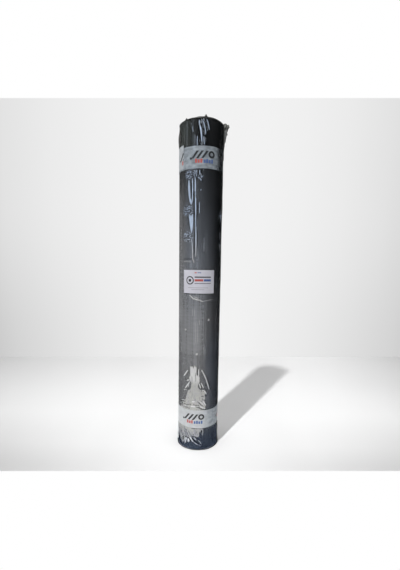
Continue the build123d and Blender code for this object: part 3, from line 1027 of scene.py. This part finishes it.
def film_tone(settings, place, fields):
    """Colour of the cloudy film: cool or warm, by its place and by how it is gathered, with a painted sky
    reflection high at the left, painted highlights on the folds and painted shade on film that stands free.
    """
    x, _, height = split(place)
    # Painted reflection of the sky: the cloudy film turns bluish high up at the left
    painted_sky_share = times(remapped(height, 0.35, 0.70), remapped(x, -0.055, -0.03))
    smooth = colour_mix(painted_sky_share, opaque(settings.neutral_colour), opaque(settings.upper_haze_and_painted_sky_colour))
    slate = times(remapped(x, 0.01, 0.045), remapped(height, 0.45, 0.25))
    smooth = colour_mix(slate, smooth, opaque(SLATE_HAZE))
    olive = times(remapped(height, 0.92, 0.935), remapped(x, 0.0, -0.03))
    smooth = colour_mix(olive, smooth, opaque(OLIVE_HAZE))
    smooth = colour_mix(remapped(height, 0.035, 0.10, 1.0, 0.0), smooth, opaque(FOOT_HAZE))
    lilac = times(remapped(fields["patches"], 0.48, 0.62), 0.5)
    warm = colour_mix(lilac, opaque(settings.warm_colour), opaque(settings.lilac_colour))
    warm = colour_mix(remapped(fields["milk_and_painted_reflection"], 0.78, 0.94), warm, opaque(THICK_GATHERS_AND_PAINTED_REFLECTION))
    tone = colour_mix(fields["gathered"], smooth, warm)
    # Painted highlights: pale grey low down and blue higher up
    sparkle = colour_mix(remapped(height, 0.60, 0.72), opaque(LOW_PAINTED_HIGHLIGHT), opaque(settings.painted_highlight_colour))
    tone = colour_mix(remapped(fields["bright"], 0.02, 0.25), tone, sparkle)
    stray = colour_mix(remapped(fields["strands"], 0.42, 0.62), opaque(LOOSE_DARK), opaque(LOOSE_PALE))
    stray = colour_mix(fields["dark"], stray, opaque(LOOSE_PAINTED_SHADE))
    return colour_mix(remapped(fields["loose"], 0.0, 0.15), tone, stray)


def film_material(settings):
    """Clear film: seen through where smooth, cloudy where gathered, and glossy all over. Its cloudiness also
    carries painted light, painted highlights, a painted reflection in the fan and painted shade.
    """
    material, tree = new_material("clear_film")
    sheet, place = uv_place(tree, "film_sheet"), object_place(tree)
    height = split(place)[2]
    crease, bright, dark, milk_and_painted_reflection, fibre, loose, crumple, haze_and_painted_light = (stored(tree, name) for name in FILM_NUMBERS)

    fine = noise(stretched(sheet, (1, 0.35, 1)), 420, 4, 0.55)
    crinkle = noise(stretched(sheet, (1, 0.6, 1)), 130, 5, 0.6)
    patches = noise(stretched(sheet, (1, 0.45, 1)), 75, 5, 0.62)
    strands = noise(stretched(sheet, (1, 0.12, 1)), 520, 3, 0.5)
    facets = noise(stretched(sheet, (1, 1.5, 1)), 150, 3, 0.55)
    clefts = noise(stretched(sheet, (1, 2.1, 1)), 95, 3, 0.6)
    grain = noise(stretched(sheet, (1, 0.03, 1)), 290, 3, 0.6)
    scratches = noise(stretched(sheet, (0.16, 1, 1)), 260, 3, 0.6)

    # Gathered film, pale in the fan also as a painted reflection, broken by fissures and by valleys that run
    # along its strands
    spread = node(tree, "ShaderNodeCombineXYZ", (times(fibre, 15.0), times(height, 22.0), 0.0)).outputs[0]
    valleys = times(cracks(noise(spread, 1.0, 4, 0.6), 0.0, 0.05), remapped(milk_and_painted_reflection, 0.94, 0.80))
    gathered = remapped(plus(milk_and_painted_reflection, times(less(patches, 0.5), 1.3)), 0.38, 0.54)
    gathered = times(gathered, remapped(milk_and_painted_reflection, 0.05, 0.3))
    gathered = times(gathered, without(times(cracks(crinkle, 0.0, 0.04), 0.28)))
    gathered = times(gathered, without(times(valleys, 0.56)))

    # How cloudy the film is, with painted highlights along the folds, painted shade in the crumples' own
    # hollows and painted highlights on their light facets
    dark = larger(dark, times(times(crumple, cracks(clefts, 0.012, 0.05)), 0.9))
    bright = larger(bright, times(times(crumple, remapped(facets, 0.47, 0.57)), 0.64))
    ragged = plus(bright, times(less(crinkle, 0.5), times(bright, 1.1)))
    brushed = times(remapped(grain, 0.32, 0.68, 0.86, 1.14), remapped(scratches, 0.35, 0.65, 0.95, 1.05))
    cloudy = times(times(haze_and_painted_light, settings.haze_and_painted_light), brushed)
    cloudy = plus(times(gathered, remapped(milk_and_painted_reflection, 0.74, 0.94, 0.68, 0.95)), cloudy)
    cloudy = plus(cloudy, plus(times(crease, 0.14), times(ragged, 0.76)), clamp=True)
    cloudy = times(cloudy, without(times(dark, 0.92)))
    cloudy = larger(cloudy, times(loose, plus(0.88, times(remapped(strands, 0.4, 0.62), 0.11))))

    tone = film_tone(settings, place, {
        "milk_and_painted_reflection": milk_and_painted_reflection, "bright": bright, "dark": dark, "loose": loose, "gathered": gathered,
        "patches": patches, "strands": strands})
    relief = bump(fine, 0.10 * MM, 0.5)
    relief = bump(crinkle, 1.1 * MM, plus(times(milk_and_painted_reflection, 0.7), 0.12, clamp=True), relief)
    clear = node(tree, "ShaderNodeBsdfTransparent", (opaque(CLEAR_TINT),)).outputs[0]
    body = shader_mix(cloudy, clear, principled(tree, tone, 0.45, 0.3, relief))
    gloss_colour = colour_mix(remapped(height, 0.035, 0.10, 1.0, 0.0), opaque(WHITE), opaque(FOOT_GLOSS))
    mirror = node(tree, "ShaderNodeBsdfGlossy", named={
        "Color": gloss_colour, "Roughness": settings.gloss_roughness, "Normal": relief}).outputs[0]
    facing = node(tree, "ShaderNodeLayerWeight", (0.5,)).outputs["Facing"]
    shine = remapped(facing, 0.2, 0.5, settings.gloss, 0.1 * settings.gloss)
    output(shader_mix(times(shine, without(times(dark, 0.9))), body, mirror))
    return material


class ROOFROLL_OT_film(bpy.types.Operator):
    """Wraps the roll in clear film, with its wrinkles, lap, end folds and loose corner"""
    bl_idname = "roofroll.film"
    bl_label = "Film Wrap"

    def execute(self, context):
        settings = context.scene.roofroll_film
        points, faces, uv, numbers = film_sheet(settings)
        ear_points, ear_faces, ear_uv, ear_dark = film_ear()
        film = mesh_object(
            "film", np.concatenate([points, ear_points]), np.concatenate([faces, ear_faces + len(points)]),
            "film_sheet", np.concatenate([uv, ear_uv]))
        on_ear = np.ones(len(ear_points))
        ear_numbers = {"crease": 0.2 * on_ear, "dark": ear_dark, "loose": on_ear}
        for name in FILM_NUMBERS:
            store(film, name, np.concatenate([numbers[name], ear_numbers.get(name, 0 * on_ear)]))
        film.data.materials.append(film_material(settings))
        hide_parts("film_wrap")
        return {"FINISHED"}


# Tapes and sticker: thin strips bent round the film

TAPE_LAP = 37.0
TAPE_THICKNESS = 0.16 * MM
STICKER_THICKNESS = 0.14 * MM
# Gap, in mm, from the film at rest to what is stuck on it, which clears the film's own waves
STUCK_GAP = 0.4
SHARP_EDGE = math.radians(40)
TAPE_COLUMNS = 260
TAPE_ROWS = 15
STICKER_COLUMNS = 80
STICKER_ROWS = 26
LAP_AND_PAINTED_LIGHT_COLOUR = (0.80, 0.81, 0.82)
GREY_INK = (0.30, 0.30, 0.33)


def strip_mesh(azimuths, inner_radius, thickness, low, high, rows):
    """Points, faces and map of a thin closed strip. Radii and edges are given at each azimuth."""
    columns = len(azimuths)
    share = np.linspace(0, 1, rows)[:, None]
    height = low + (high - low) * share + 0 * azimuths[None, :]
    azimuth = azimuths[None, :] + 0 * height
    inner = np.broadcast_to(inner_radius, azimuth.shape)
    layers = [around(azimuth, inner + thickness, height), around(azimuth, inner, height)]
    points = np.concatenate([layer.reshape(-1, 3) for layer in layers])
    outer = np.arange(columns * rows).reshape(rows, columns)
    border = np.concatenate([outer[0], outer[1:, -1], outer[-1, -2::-1], outer[-2:0:-1, 0]])
    inner_border = border + columns * rows
    rim = np.stack([border, inner_border, np.roll(inner_border, -1), np.roll(border, -1)], -1)
    inner_faces = grid_faces(columns, rows, columns * rows)[:, ::-1]
    uv = np.stack([np.radians(azimuth) * FILM_REST, height], -1).reshape(-1, 2)
    return points, np.concatenate([grid_faces(columns, rows), inner_faces, rim]), np.concatenate([uv, uv])


def within(value, centre, breadth):
    """1 within half of this breadth of the centre, and 0 outside."""
    return maths("LESS_THAN", absolute(less(value, centre)), breadth / 2)


def box_mark(x, y, centre_x, centre_y, width, height):
    """1 inside a printed bar, in millimetres."""
    return times(within(x, centre_x, width), within(y, centre_y, height))


def slash_mark(x, y, centre_x, centre_y, width, height):
    """1 inside a printed bar that leans to the right, in millimetres."""
    return box_mark(less(x, times(less(y, centre_y), 0.75)), y, centre_x, centre_y, width, height)


def ring_mark(x, y, centre_x, centre_y, radius, line):
    """1 on a printed ring, in millimetres."""
    dx, dy = less(x, centre_x), less(y, centre_y)
    return within(maths("SQRT", plus(times(dx, dx), times(dy, dy))), radius, line)


MARK_SHAPES = {"bar": box_mark, "slash": slash_mark, "ring": ring_mark}


def ink_colours(settings):
    """The tape's inks by name."""
    return {"black": settings.print_black, "red": settings.print_red, "blue": settings.print_blue}


def printed(ground, x, y, inks, marks):
    """The ground colour with each mark laid over it, and where the marks lie."""
    covered = 0.0
    for ink, shape, *sizes in marks:
        mark = MARK_SHAPES[shape](x, y, *sizes)
        ground = colour_mix(times(mark, 0.98), ground, opaque(inks[ink]))
        covered = larger(covered, mark)
    return ground, covered


# Printed marks, in mm from the print's centre. A bar or a slash has its centre and size, a ring its centre,
# radius and line.
TAPE_MARKS = (
    ("black", "slash", -21, 7, 7, 20), ("black", "slash", -7, 7, 7, 20), ("black", "slash", 7, 7, 7, 20),
    ("black", "ring", 27, 8, 7.2, 5.4), ("black", "bar", -34, -2.5, 6, 6),
    ("red", "bar", -18, -10, 5.6, 11), ("red", "bar", -10.5, -11, 5.6, 9), ("red", "bar", -3, -10, 5.6, 11),
    ("blue", "bar", 6, -11, 5.6, 9), ("blue", "bar", 13.5, -10, 5.6, 11), ("blue", "bar", 21, -11, 5.6, 9),
    ("blue", "bar", 28.5, -10, 5.6, 11),
)
LABEL_MARKS = (
    ("red", "bar", -9, 27, 6.5, 3.0), ("blue", "bar", 2, 27, 11, 2.0),
    ("black", "ring", -27, 4, 11, 3.2), ("black", "bar", -27, 4, 8, 8),
    ("black", "bar", 13, 14, 50, 3.4),
    ("red", "bar", 1, 4.5, 26, 6.5), ("blue", "bar", 27, 4.5, 22, 6.5),
    ("black", "bar", 13, -5, 50, 1.6),
    ("grey", "bar", -2, -18, 62, 1.2), ("grey", "bar", -2, -23.5, 40, 1.2),
)


def tape_material(settings):
    """Packing tape: pale, partly seen through, with printed marks that repeat along it. It is paler where
    doubled at its lap, and the lower tape is paler still as painted light, less so at its right side.
    """
    material, tree = new_material("packing_tape")
    sheet = uv_place(tree, "tape_run")
    along, up, _ = split(sheet)
    clear_patch, pale_lap_and_painted_light = stored(tree, "clear"), stored(tree, "pale_lap_and_painted_light")
    repeat = settings.print_repeat
    along = node(tree, "ShaderNodeMath", (along, repeat / 2, -repeat / 2), operation="WRAP").outputs[0]
    x = plus(maths("DIVIDE", along, MM), times(less(noise(sheet, 60, 2), 0.5), 0.9))
    y = maths("DIVIDE", up, MM)
    mottle = noise(stretched(sheet, (1, 1.4, 1)), 55, 5, 0.6)
    flecks = noise(sheet, 520, 3, 0.6)
    dull, light = (opaque([min(1.0, share * c) for c in settings.colour]) for share in (0.80, 1.14))
    ground = colour_mix(remapped(mottle, 0.3, 0.7), dull, light)
    # Paler where the tape lies doubled, and painted light that makes the lower tape paler
    ground = colour_mix(times(pale_lap_and_painted_light, 0.75), ground, opaque(LAP_AND_PAINTED_LIGHT_COLOUR))
    colour, covered = printed(ground, x, y, ink_colours(settings), TAPE_MARKS)
    relief = bump(mottle, 0.5 * MM, 0.35, bump(flecks, 0.06 * MM, 0.4))
    body = principled(tree, colour, remapped(flecks, 0.2, 0.8, 0.24, 0.42), 0.4, relief)
    passing = remapped(mottle, 0.3, 0.7, 1.15 * settings.see_through, 0.85 * settings.see_through)
    passing = times(passing, without(times(pale_lap_and_painted_light, 0.5)))
    passing = plus(passing, times(clear_patch, 0.45), clamp=True)
    passing = times(passing, without(times(covered, 0.97)))
    clear = node(tree, "ShaderNodeBsdfTransparent", (opaque(CLEAR_TINT),)).outputs[0]
    output(shader_mix(passing, body, clear))
    return material


def label_material(settings, tape_settings):
    """Semi-gloss paper with printed bars and a ring."""
    material, tree = new_material("sticker_paper")
    sheet = uv_place(tree, "sticker")
    x, y = (maths("DIVIDE", side, MM) for side in tuple(split(sheet))[:2])
    fibres = noise(sheet, 700, 4, 0.6)
    clouds = noise(sheet, 30, 3, 0.5)
    dull = opaque([0.93 * c for c in settings.paper])
    ground = colour_mix(remapped(clouds, 0.3, 0.7), dull, opaque(settings.paper))
    colour, _ = printed(ground, x, y, {**ink_colours(tape_settings), "grey": GREY_INK}, LABEL_MARKS)
    relief = bump(clouds, 0.3 * MM, 0.3, bump(fibres, 0.04 * MM, 0.4))
    output(principled(tree, colour, remapped(fibres, 0.2, 0.8, 0.38, 0.52), 0.35, relief))
    return material


def wound_tape(name, base, lap_end, lap_rise, print_shift, clear_share, painted_light_share, seed):
    """One turn of tape and its lap, which climbs over its own start."""
    sweep = 360 + TAPE_LAP
    lap_start = lap_end - TAPE_LAP
    azimuths = lap_end - sweep + np.linspace(0, sweep, TAPE_COLUMNS)
    over = rise(azimuths, lap_start - 5, lap_start + 2)
    inner = FILM_REST + (STUCK_GAP + 0.25 * over + 0.06 * noise_round(azimuths, seed, 40)) * MM
    slant = 0.5 * MM * np.sin(np.radians(azimuths))
    low_edge, high_edge = (0.25 * MM * noise_round(azimuths, seed + more, 70) for more in (1, 2))
    low = base + lap_rise * over * 0.55 + slant + low_edge
    high = base + TAPE_WIDTH + lap_rise * over + slant + high_edge
    points, faces, uv = strip_mesh(azimuths, inner, TAPE_THICKNESS, low, high, TAPE_ROWS)
    uv += (print_shift, -base - TAPE_WIDTH / 2)
    tape = mesh_object(name, points, faces, "tape_run", uv)
    tape.data.set_sharp_from_angle(angle=SHARP_EDGE)
    front = turned_to(azimuths, 0)
    clear = clear_share * between(front, 36, 52, 80, 96)
    # Painted light that makes the lower tape paler, taken back at its right side as painted shade
    pale_lap_and_painted_light = painted_light_share * (1 - 0.9 * between(front, 0, 50, 75, 120))
    doubled = 0.5 * rise(azimuths, lap_start - 3, lap_start)
    store(tape, "clear", np.tile(clear, 2 * TAPE_ROWS))
    store(tape, "pale_lap_and_painted_light", np.tile(np.maximum(pale_lap_and_painted_light, doubled), 2 * TAPE_ROWS))
    return tape


class ROOFROLL_OT_tapes(bpy.types.Operator):
    """Winds the two printed tapes round the film"""
    bl_idname = "roofroll.tapes"
    bl_label = "Printed Tapes"

    def execute(self, context):
        settings = context.scene.roofroll_tape
        material = tape_material(settings)
        upper = wound_tape(
            "tape_upper", UPPER_TAPE_BASE, lap_end=-50, lap_rise=8 * MM, print_shift=43.5 * MM,
            clear_share=1.0, painted_light_share=0.0, seed=61)
        lower = wound_tape(
            "tape_lower", LOWER_TAPE_BASE, lap_end=152, lap_rise=1.5 * MM, print_shift=16 * MM,
            clear_share=0.0, painted_light_share=1.0, seed=71)
        for tape, cad_node in ((upper, "tape_band_upper"), (lower, "tape_band_lower")):
            tape.data.materials.append(material)
            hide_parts(cad_node)
        return {"FINISHED"}


class ROOFROLL_OT_label(bpy.types.Operator):
    """Sticks the paper label on the film at the front"""
    bl_idname = "roofroll.label"
    bl_label = "Sticker"

    def execute(self, context):
        half = math.degrees(STICKER_WIDTH / 2 / FILM_REST)
        azimuths = STICKER_AZIMUTH + np.linspace(-half, half, STICKER_COLUMNS)
        inner = FILM_REST + (STUCK_GAP + 0.08 * noise_round(azimuths, 81, 30)) * MM
        points, faces, uv = strip_mesh(
            azimuths, inner, STICKER_THICKNESS, STICKER_BASE, STICKER_TOP, STICKER_ROWS)
        uv -= (math.radians(STICKER_AZIMUTH) * FILM_REST, (STICKER_BASE + STICKER_TOP) / 2)
        label = mesh_object("sticker", points, faces, "sticker", uv)
        label.data.set_sharp_from_angle(angle=SHARP_EDGE)
        paper = label_material(context.scene.roofroll_label, context.scene.roofroll_tape)
        label.data.materials.append(paper)
        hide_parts("label")
        return {"FINISHED"}


# Stage: floor and backdrop, lamps and camera

CAMERA_PLACE = (0.0, -1.0431, 0.5986)
CAMERA_PITCH = 9.43
CAMERA_ROLL = 0.773
CAMERA_FOCAL_PX = 324.46
OPTICAL_AXIS_PX = (199.14, 318.47)
IMAGE_PX = (400, 570)
SENSOR = 36.0

# The backdrop stands this far behind the roll and is turned a little
WALL_DISTANCE = 1.017
WALL_TURN = 0.048
# The backdrop is white above this height, and the floor before this depth. Both lines lean.
WALL_TOP = 1.546
WALL_TOP_LEAN = 0.0345
FLOOR_FRONT = -0.1747
FLOOR_FRONT_LEAN = 0.0216
# Depth at which the floor is brightest
FLOOR_CENTRE = 0.24
BEYOND_VIEW = (0.10, 0.10, 0.10)
WALL_MATT = (0.5, 0.5, 0.5)
WINDOW_LIGHT = (0.72, 0.84, 1.0)
OVERHEAD_LIGHT = (0.78, 0.87, 1.0)

# Greys of the backdrop and the floor by distance from the middle, in m, darker outwards as painted shade
WALL_HIGH = (
    (0.0, 0.888), (0.38, 0.888), (0.62, 0.868), (0.88, 0.83), (1.15, 0.765), (1.3, 0.71), (2.0, 0.25),
    (2.5, 0.06),
)
WALL_LOW = (
    (0.0, 0.89), (0.24, 0.89), (0.62, 0.82), (0.88, 0.745), (1.15, 0.655), (1.3, 0.58), (2.0, 0.20),
    (2.5, 0.05),
)
FLOOR_MIDDLE = (
    (0.0, 0.99), (0.2, 0.985), (0.38, 0.965), (0.55, 0.905), (0.78, 0.80), (1.3, 0.35), (1.8, 0.12),
    (2.5, 0.05),
)
FLOOR_ENDS = (
    (0.0, 0.90), (0.2, 0.88), (0.38, 0.81), (0.55, 0.68), (0.78, 0.50), (1.3, 0.25), (1.8, 0.10),
    (2.5, 0.05),
)


def grey_ramp(value, stops):
    """A grey read from a short list of (place, grey) pairs."""
    reach = stops[-1][0]
    ramp_node = node(tree_of(value), "ShaderNodeValToRGB", (maths("DIVIDE", value, reach),))
    elements = ramp_node.color_ramp.elements
    while len(elements) < len(stops):
        elements.new(0.5)
    for element, (where, grey) in zip(elements, stops):
        element.position = where / reach
        element.color = (grey, grey, grey, 1)
    return ramp_node.outputs[0]


def seen_only(seen, other):
    """Uses `seen` for what the camera and reflections see, and `other` for all light."""
    path = node(tree_of(seen), "ShaderNodeLightPath").outputs
    direct = larger(path["Is Camera Ray"], path["Is Glossy Ray"])
    return shader_mix(larger(direct, path["Is Transmission Ray"]), other, seen)


def add_stage_mesh(name, points, material):
    """A flat four-cornered piece of the stage."""
    mesh = bpy.data.meshes.new(name)
    mesh.from_pydata(points, [], [(0, 1, 2, 3)])
    mesh.materials.append(material)
    piece = bpy.data.objects.new(name, mesh)
    bpy.context.scene.collection.objects.link(piece)


def painted_floor_light(side, depth, aside):
    """Painted light and shade on the floor: how much brighter or darker it is there than its greys say."""
    far = remapped(depth, 0.45, 1.02)
    gain = plus(0.918, times(remapped(side, 0.0, 0.8), 0.17))
    for across, start, end, more in (
        (side, 0.3, 1.2, 0.19), (side, -0.3, -1.2, 0.09), (aside, 0.45, 0.1, 0.06),
    ):
        gain = plus(gain, times(times(far, remapped(across, start, end)), more))
    from_roll = maths("SQRT", plus(times(side, side), times(depth, depth)))
    gain = times(gain, remapped(from_roll, 0.34, 0.08, 1.0, 1.07))
    before_roll = remapped(depth, -0.02, -0.21)
    return times(gain, without(times(before_roll, remapped(aside, 0.05, 0.5, 0.03, 0.16))))


def floor_material():
    """Pale floor with painted light and shade: brightest round the roll, darker towards its sides and back,
    and white before the roll.
    """
    material, tree = new_material("studio_floor")
    side, depth, _ = split(object_place(tree))
    aside = absolute(side)
    to_front = remapped(absolute(less(depth, FLOOR_CENTRE)), 0.0, 0.42)
    to_front = times(to_front, maths("LESS_THAN", depth, FLOOR_CENTRE))
    to_back = remapped(depth, 0.3, 1.02, 0.0, 0.6)
    wide = maths("DIVIDE", aside, plus(1.0, times(remapped(depth, 0.1, 1.1), 0.55)))
    tone = colour_mix(larger(to_back, to_front), grey_ramp(wide, FLOOR_MIDDLE), grey_ramp(wide, FLOOR_ENDS))
    beyond_view = larger(remapped(depth, -0.5, -0.8), remapped(aside, 1.3, 1.7))
    tone = colour_mix(beyond_view, tone, opaque(BEYOND_VIEW))
    gain = painted_floor_light(side, depth, aside)
    shade = node(tree, "ShaderNodeCombineXYZ", (gain, gain, gain)).outputs[0]
    albedo = colour_mix(1.0, tone, shade, "MULTIPLY")
    matt = node(tree, "ShaderNodeBsdfDiffuse", (albedo,)).outputs[0]
    white = node(tree, "ShaderNodeEmission", (opaque(WHITE), 1.0)).outputs[0]
    front = less(depth, times(side, FLOOR_FRONT_LEAN))
    front = remapped(front, FLOOR_FRONT, FLOOR_FRONT - 2 * MM)
    in_view = node(tree, "ShaderNodeLightPath").outputs["Is Camera Ray"]
    output(shader_mix(times(front, in_view), matt, white))
    return material


def wall_material():
    """Pale backdrop, darker towards its sides and its foot as painted shade, and white above its top edge.
    """
    material, tree = new_material("studio_wall")
    side, _, height = split(object_place(tree))
    aside = absolute(side)
    low = grey_ramp(times(aside, remapped(side, 0.2, 0.8, 1.0, 0.89)), WALL_LOW)
    tone = colour_mix(remapped(height, 0.0, 1.0), low, grey_ramp(aside, WALL_HIGH))
    top = less(height, times(side, WALL_TOP_LEAN))
    tone = colour_mix(remapped(top, WALL_TOP, WALL_TOP + 6 * MM), tone, opaque(WHITE))
    seen = node(tree, "ShaderNodeEmission", (tone, 1.0)).outputs[0]
    matt = node(tree, "ShaderNodeBsdfDiffuse", (opaque(WALL_MATT),)).outputs[0]
    output(seen_only(seen, matt))
    return material


def add_lamp(name, place, aim_height, power, colour, size, shape="RECTANGLE", lights_matt=False):
    """Adds an area lamp aimed at the roll. One that lights no matt surface shows only in reflections."""
    azimuth, distance, height = place
    angle = math.radians(azimuth)
    lamp = bpy.data.lights.new(name, "AREA")
    lamp.energy = power
    lamp.color = colour
    lamp.shape = shape
    lamp.size, lamp.size_y = size
    piece = bpy.data.objects.new(name, lamp)
    piece.location = (distance * math.sin(angle), -distance * math.cos(angle), height)
    aim = Vector((0, 0, aim_height)) - piece.location
    piece.rotation_euler = aim.to_track_quat("-Z", "Y").to_euler()
    piece.visible_diffuse = lights_matt
    piece.visible_camera = False
    bpy.context.scene.collection.objects.link(piece)


def soft_room(strength):
    """A world that lights evenly from above and all round, and less from low down."""
    world = bpy.data.worlds.new("soft_room")
    world.use_nodes = True
    tree = world.node_tree
    tree.nodes.clear()
    upward = split(node(tree, "ShaderNodeTexCoord").outputs["Generated"])[2]
    glow = times(remapped(upward, 0.30, 0.75, 0.08, 1.0), strength)
    light = node(tree, "ShaderNodeBackground", (opaque(WHITE), glow)).outputs[0]
    node(tree, "ShaderNodeOutputWorld", (light,))
    return world


def photograph_camera():
    """A camera at the photograph's place, angle and frame."""
    data = bpy.data.cameras.new("camera")
    data.sensor_width = SENSOR
    data.lens = CAMERA_FOCAL_PX / max(IMAGE_PX) * SENSOR
    data.shift_x = (IMAGE_PX[0] / 2 - OPTICAL_AXIS_PX[0]) / max(IMAGE_PX)
    data.shift_y = (OPTICAL_AXIS_PX[1] - IMAGE_PX[1] / 2) / max(IMAGE_PX)
    camera = bpy.data.objects.new("camera", data)
    tilt = Matrix.Rotation(math.radians(90 - CAMERA_PITCH), 4, "X")
    roll = Matrix.Rotation(math.radians(CAMERA_ROLL), 4, "Z")
    camera.matrix_world = Matrix.Translation(CAMERA_PLACE) @ tilt @ roll
    bpy.context.scene.collection.objects.link(camera)
    return camera


class ROOFROLL_OT_stage(bpy.types.Operator):
    """Sets up the pale floor and backdrop, the lamps and the camera"""
    bl_idname = "roofroll.stage"
    bl_label = "Stage"

    def execute(self, context):
        settings = context.scene.roofroll_stage
        wide, near, tall = 5.0, -5.0, 3.2
        left, right = (WALL_DISTANCE + WALL_TURN * x for x in (-wide, wide))
        floor = [(-wide, near, 0), (wide, near, 0), (wide, right, 0), (-wide, left, 0)]
        wall = [(-wide, left, 0), (wide, right, 0), (wide, right, tall), (-wide, left, tall)]
        add_stage_mesh("floor", floor, floor_material())
        add_stage_mesh("backdrop", wall, wall_material())
        key, window = settings.key_strength, settings.window_strength
        add_lamp(
            "key_lamp", (-28.9, 2.6, 3.97), 0.3, key, WHITE, (0.13, 0.28), shape="ELLIPSE", lights_matt=True)
        add_lamp("window_lamp", (-46, 1.7, 1.45), 0.95, window, WINDOW_LIGHT, (0.55, 1.3))
        add_lamp("overhead_lamp", (10, 1.6, 1.56), 0.97, 1.3 * window, OVERHEAD_LIGHT, (0.55, 0.26))
        context.scene.world = soft_room(settings.world_strength)
        context.scene.camera = photograph_camera()
        context.scene.view_settings.view_transform = "Standard"
        return {"FINISHED"}


class ROOFROLL_PT_panel(bpy.types.Panel):
    """Lists the roll's pieces and their settings"""
    bl_idname = "ROOFROLL_PT_panel"
    bl_label = "Felt Roll"
    bl_space_type = "VIEW_3D"
    bl_region_type = "UI"
    bl_category = "Felt Roll"

    def draw(self, context):
        for operator, settings in STEPS:
            box = self.layout.box()
            box.operator(operator.bl_idname)
            group = getattr(context.scene, settings)
            for name in group.__annotations__:
                box.prop(group, name)


STEPS = (
    (ROOFROLL_OT_stage, "roofroll_stage"),
    (ROOFROLL_OT_felt, "roofroll_felt"),
    (ROOFROLL_OT_film, "roofroll_film"),
    (ROOFROLL_OT_tapes, "roofroll_tape"),
    (ROOFROLL_OT_label, "roofroll_label"),
)
GROUPS = {
    "roofroll_stage": StageSettings,
    "roofroll_felt": FeltSettings,
    "roofroll_film": FilmSettings,
    "roofroll_tape": TapeSettings,
    "roofroll_label": LabelSettings,
}
CLASSES = (*GROUPS.values(), *(operator for operator, _ in STEPS), ROOFROLL_PT_panel)


def register():
    """Registers the classes and puts each group of settings on the scene."""
    for item in CLASSES:
        bpy.utils.register_class(item)
    for name, group in GROUPS.items():
        setattr(bpy.types.Scene, name, bpy.props.PointerProperty(type=group))


def unregister():
    """Takes the settings and the classes away again."""
    for name in GROUPS:
        delattr(bpy.types.Scene, name)
    for item in reversed(CLASSES):
        bpy.utils.unregister_class(item)


def main():
    """Makes the stage and the pieces in order."""
    register()
    bpy.ops.roofroll.stage()
    bpy.ops.roofroll.felt()
    bpy.ops.roofroll.film()
    bpy.ops.roofroll.tapes()
    bpy.ops.roofroll.label()


if __name__ == "__main__":
    main()
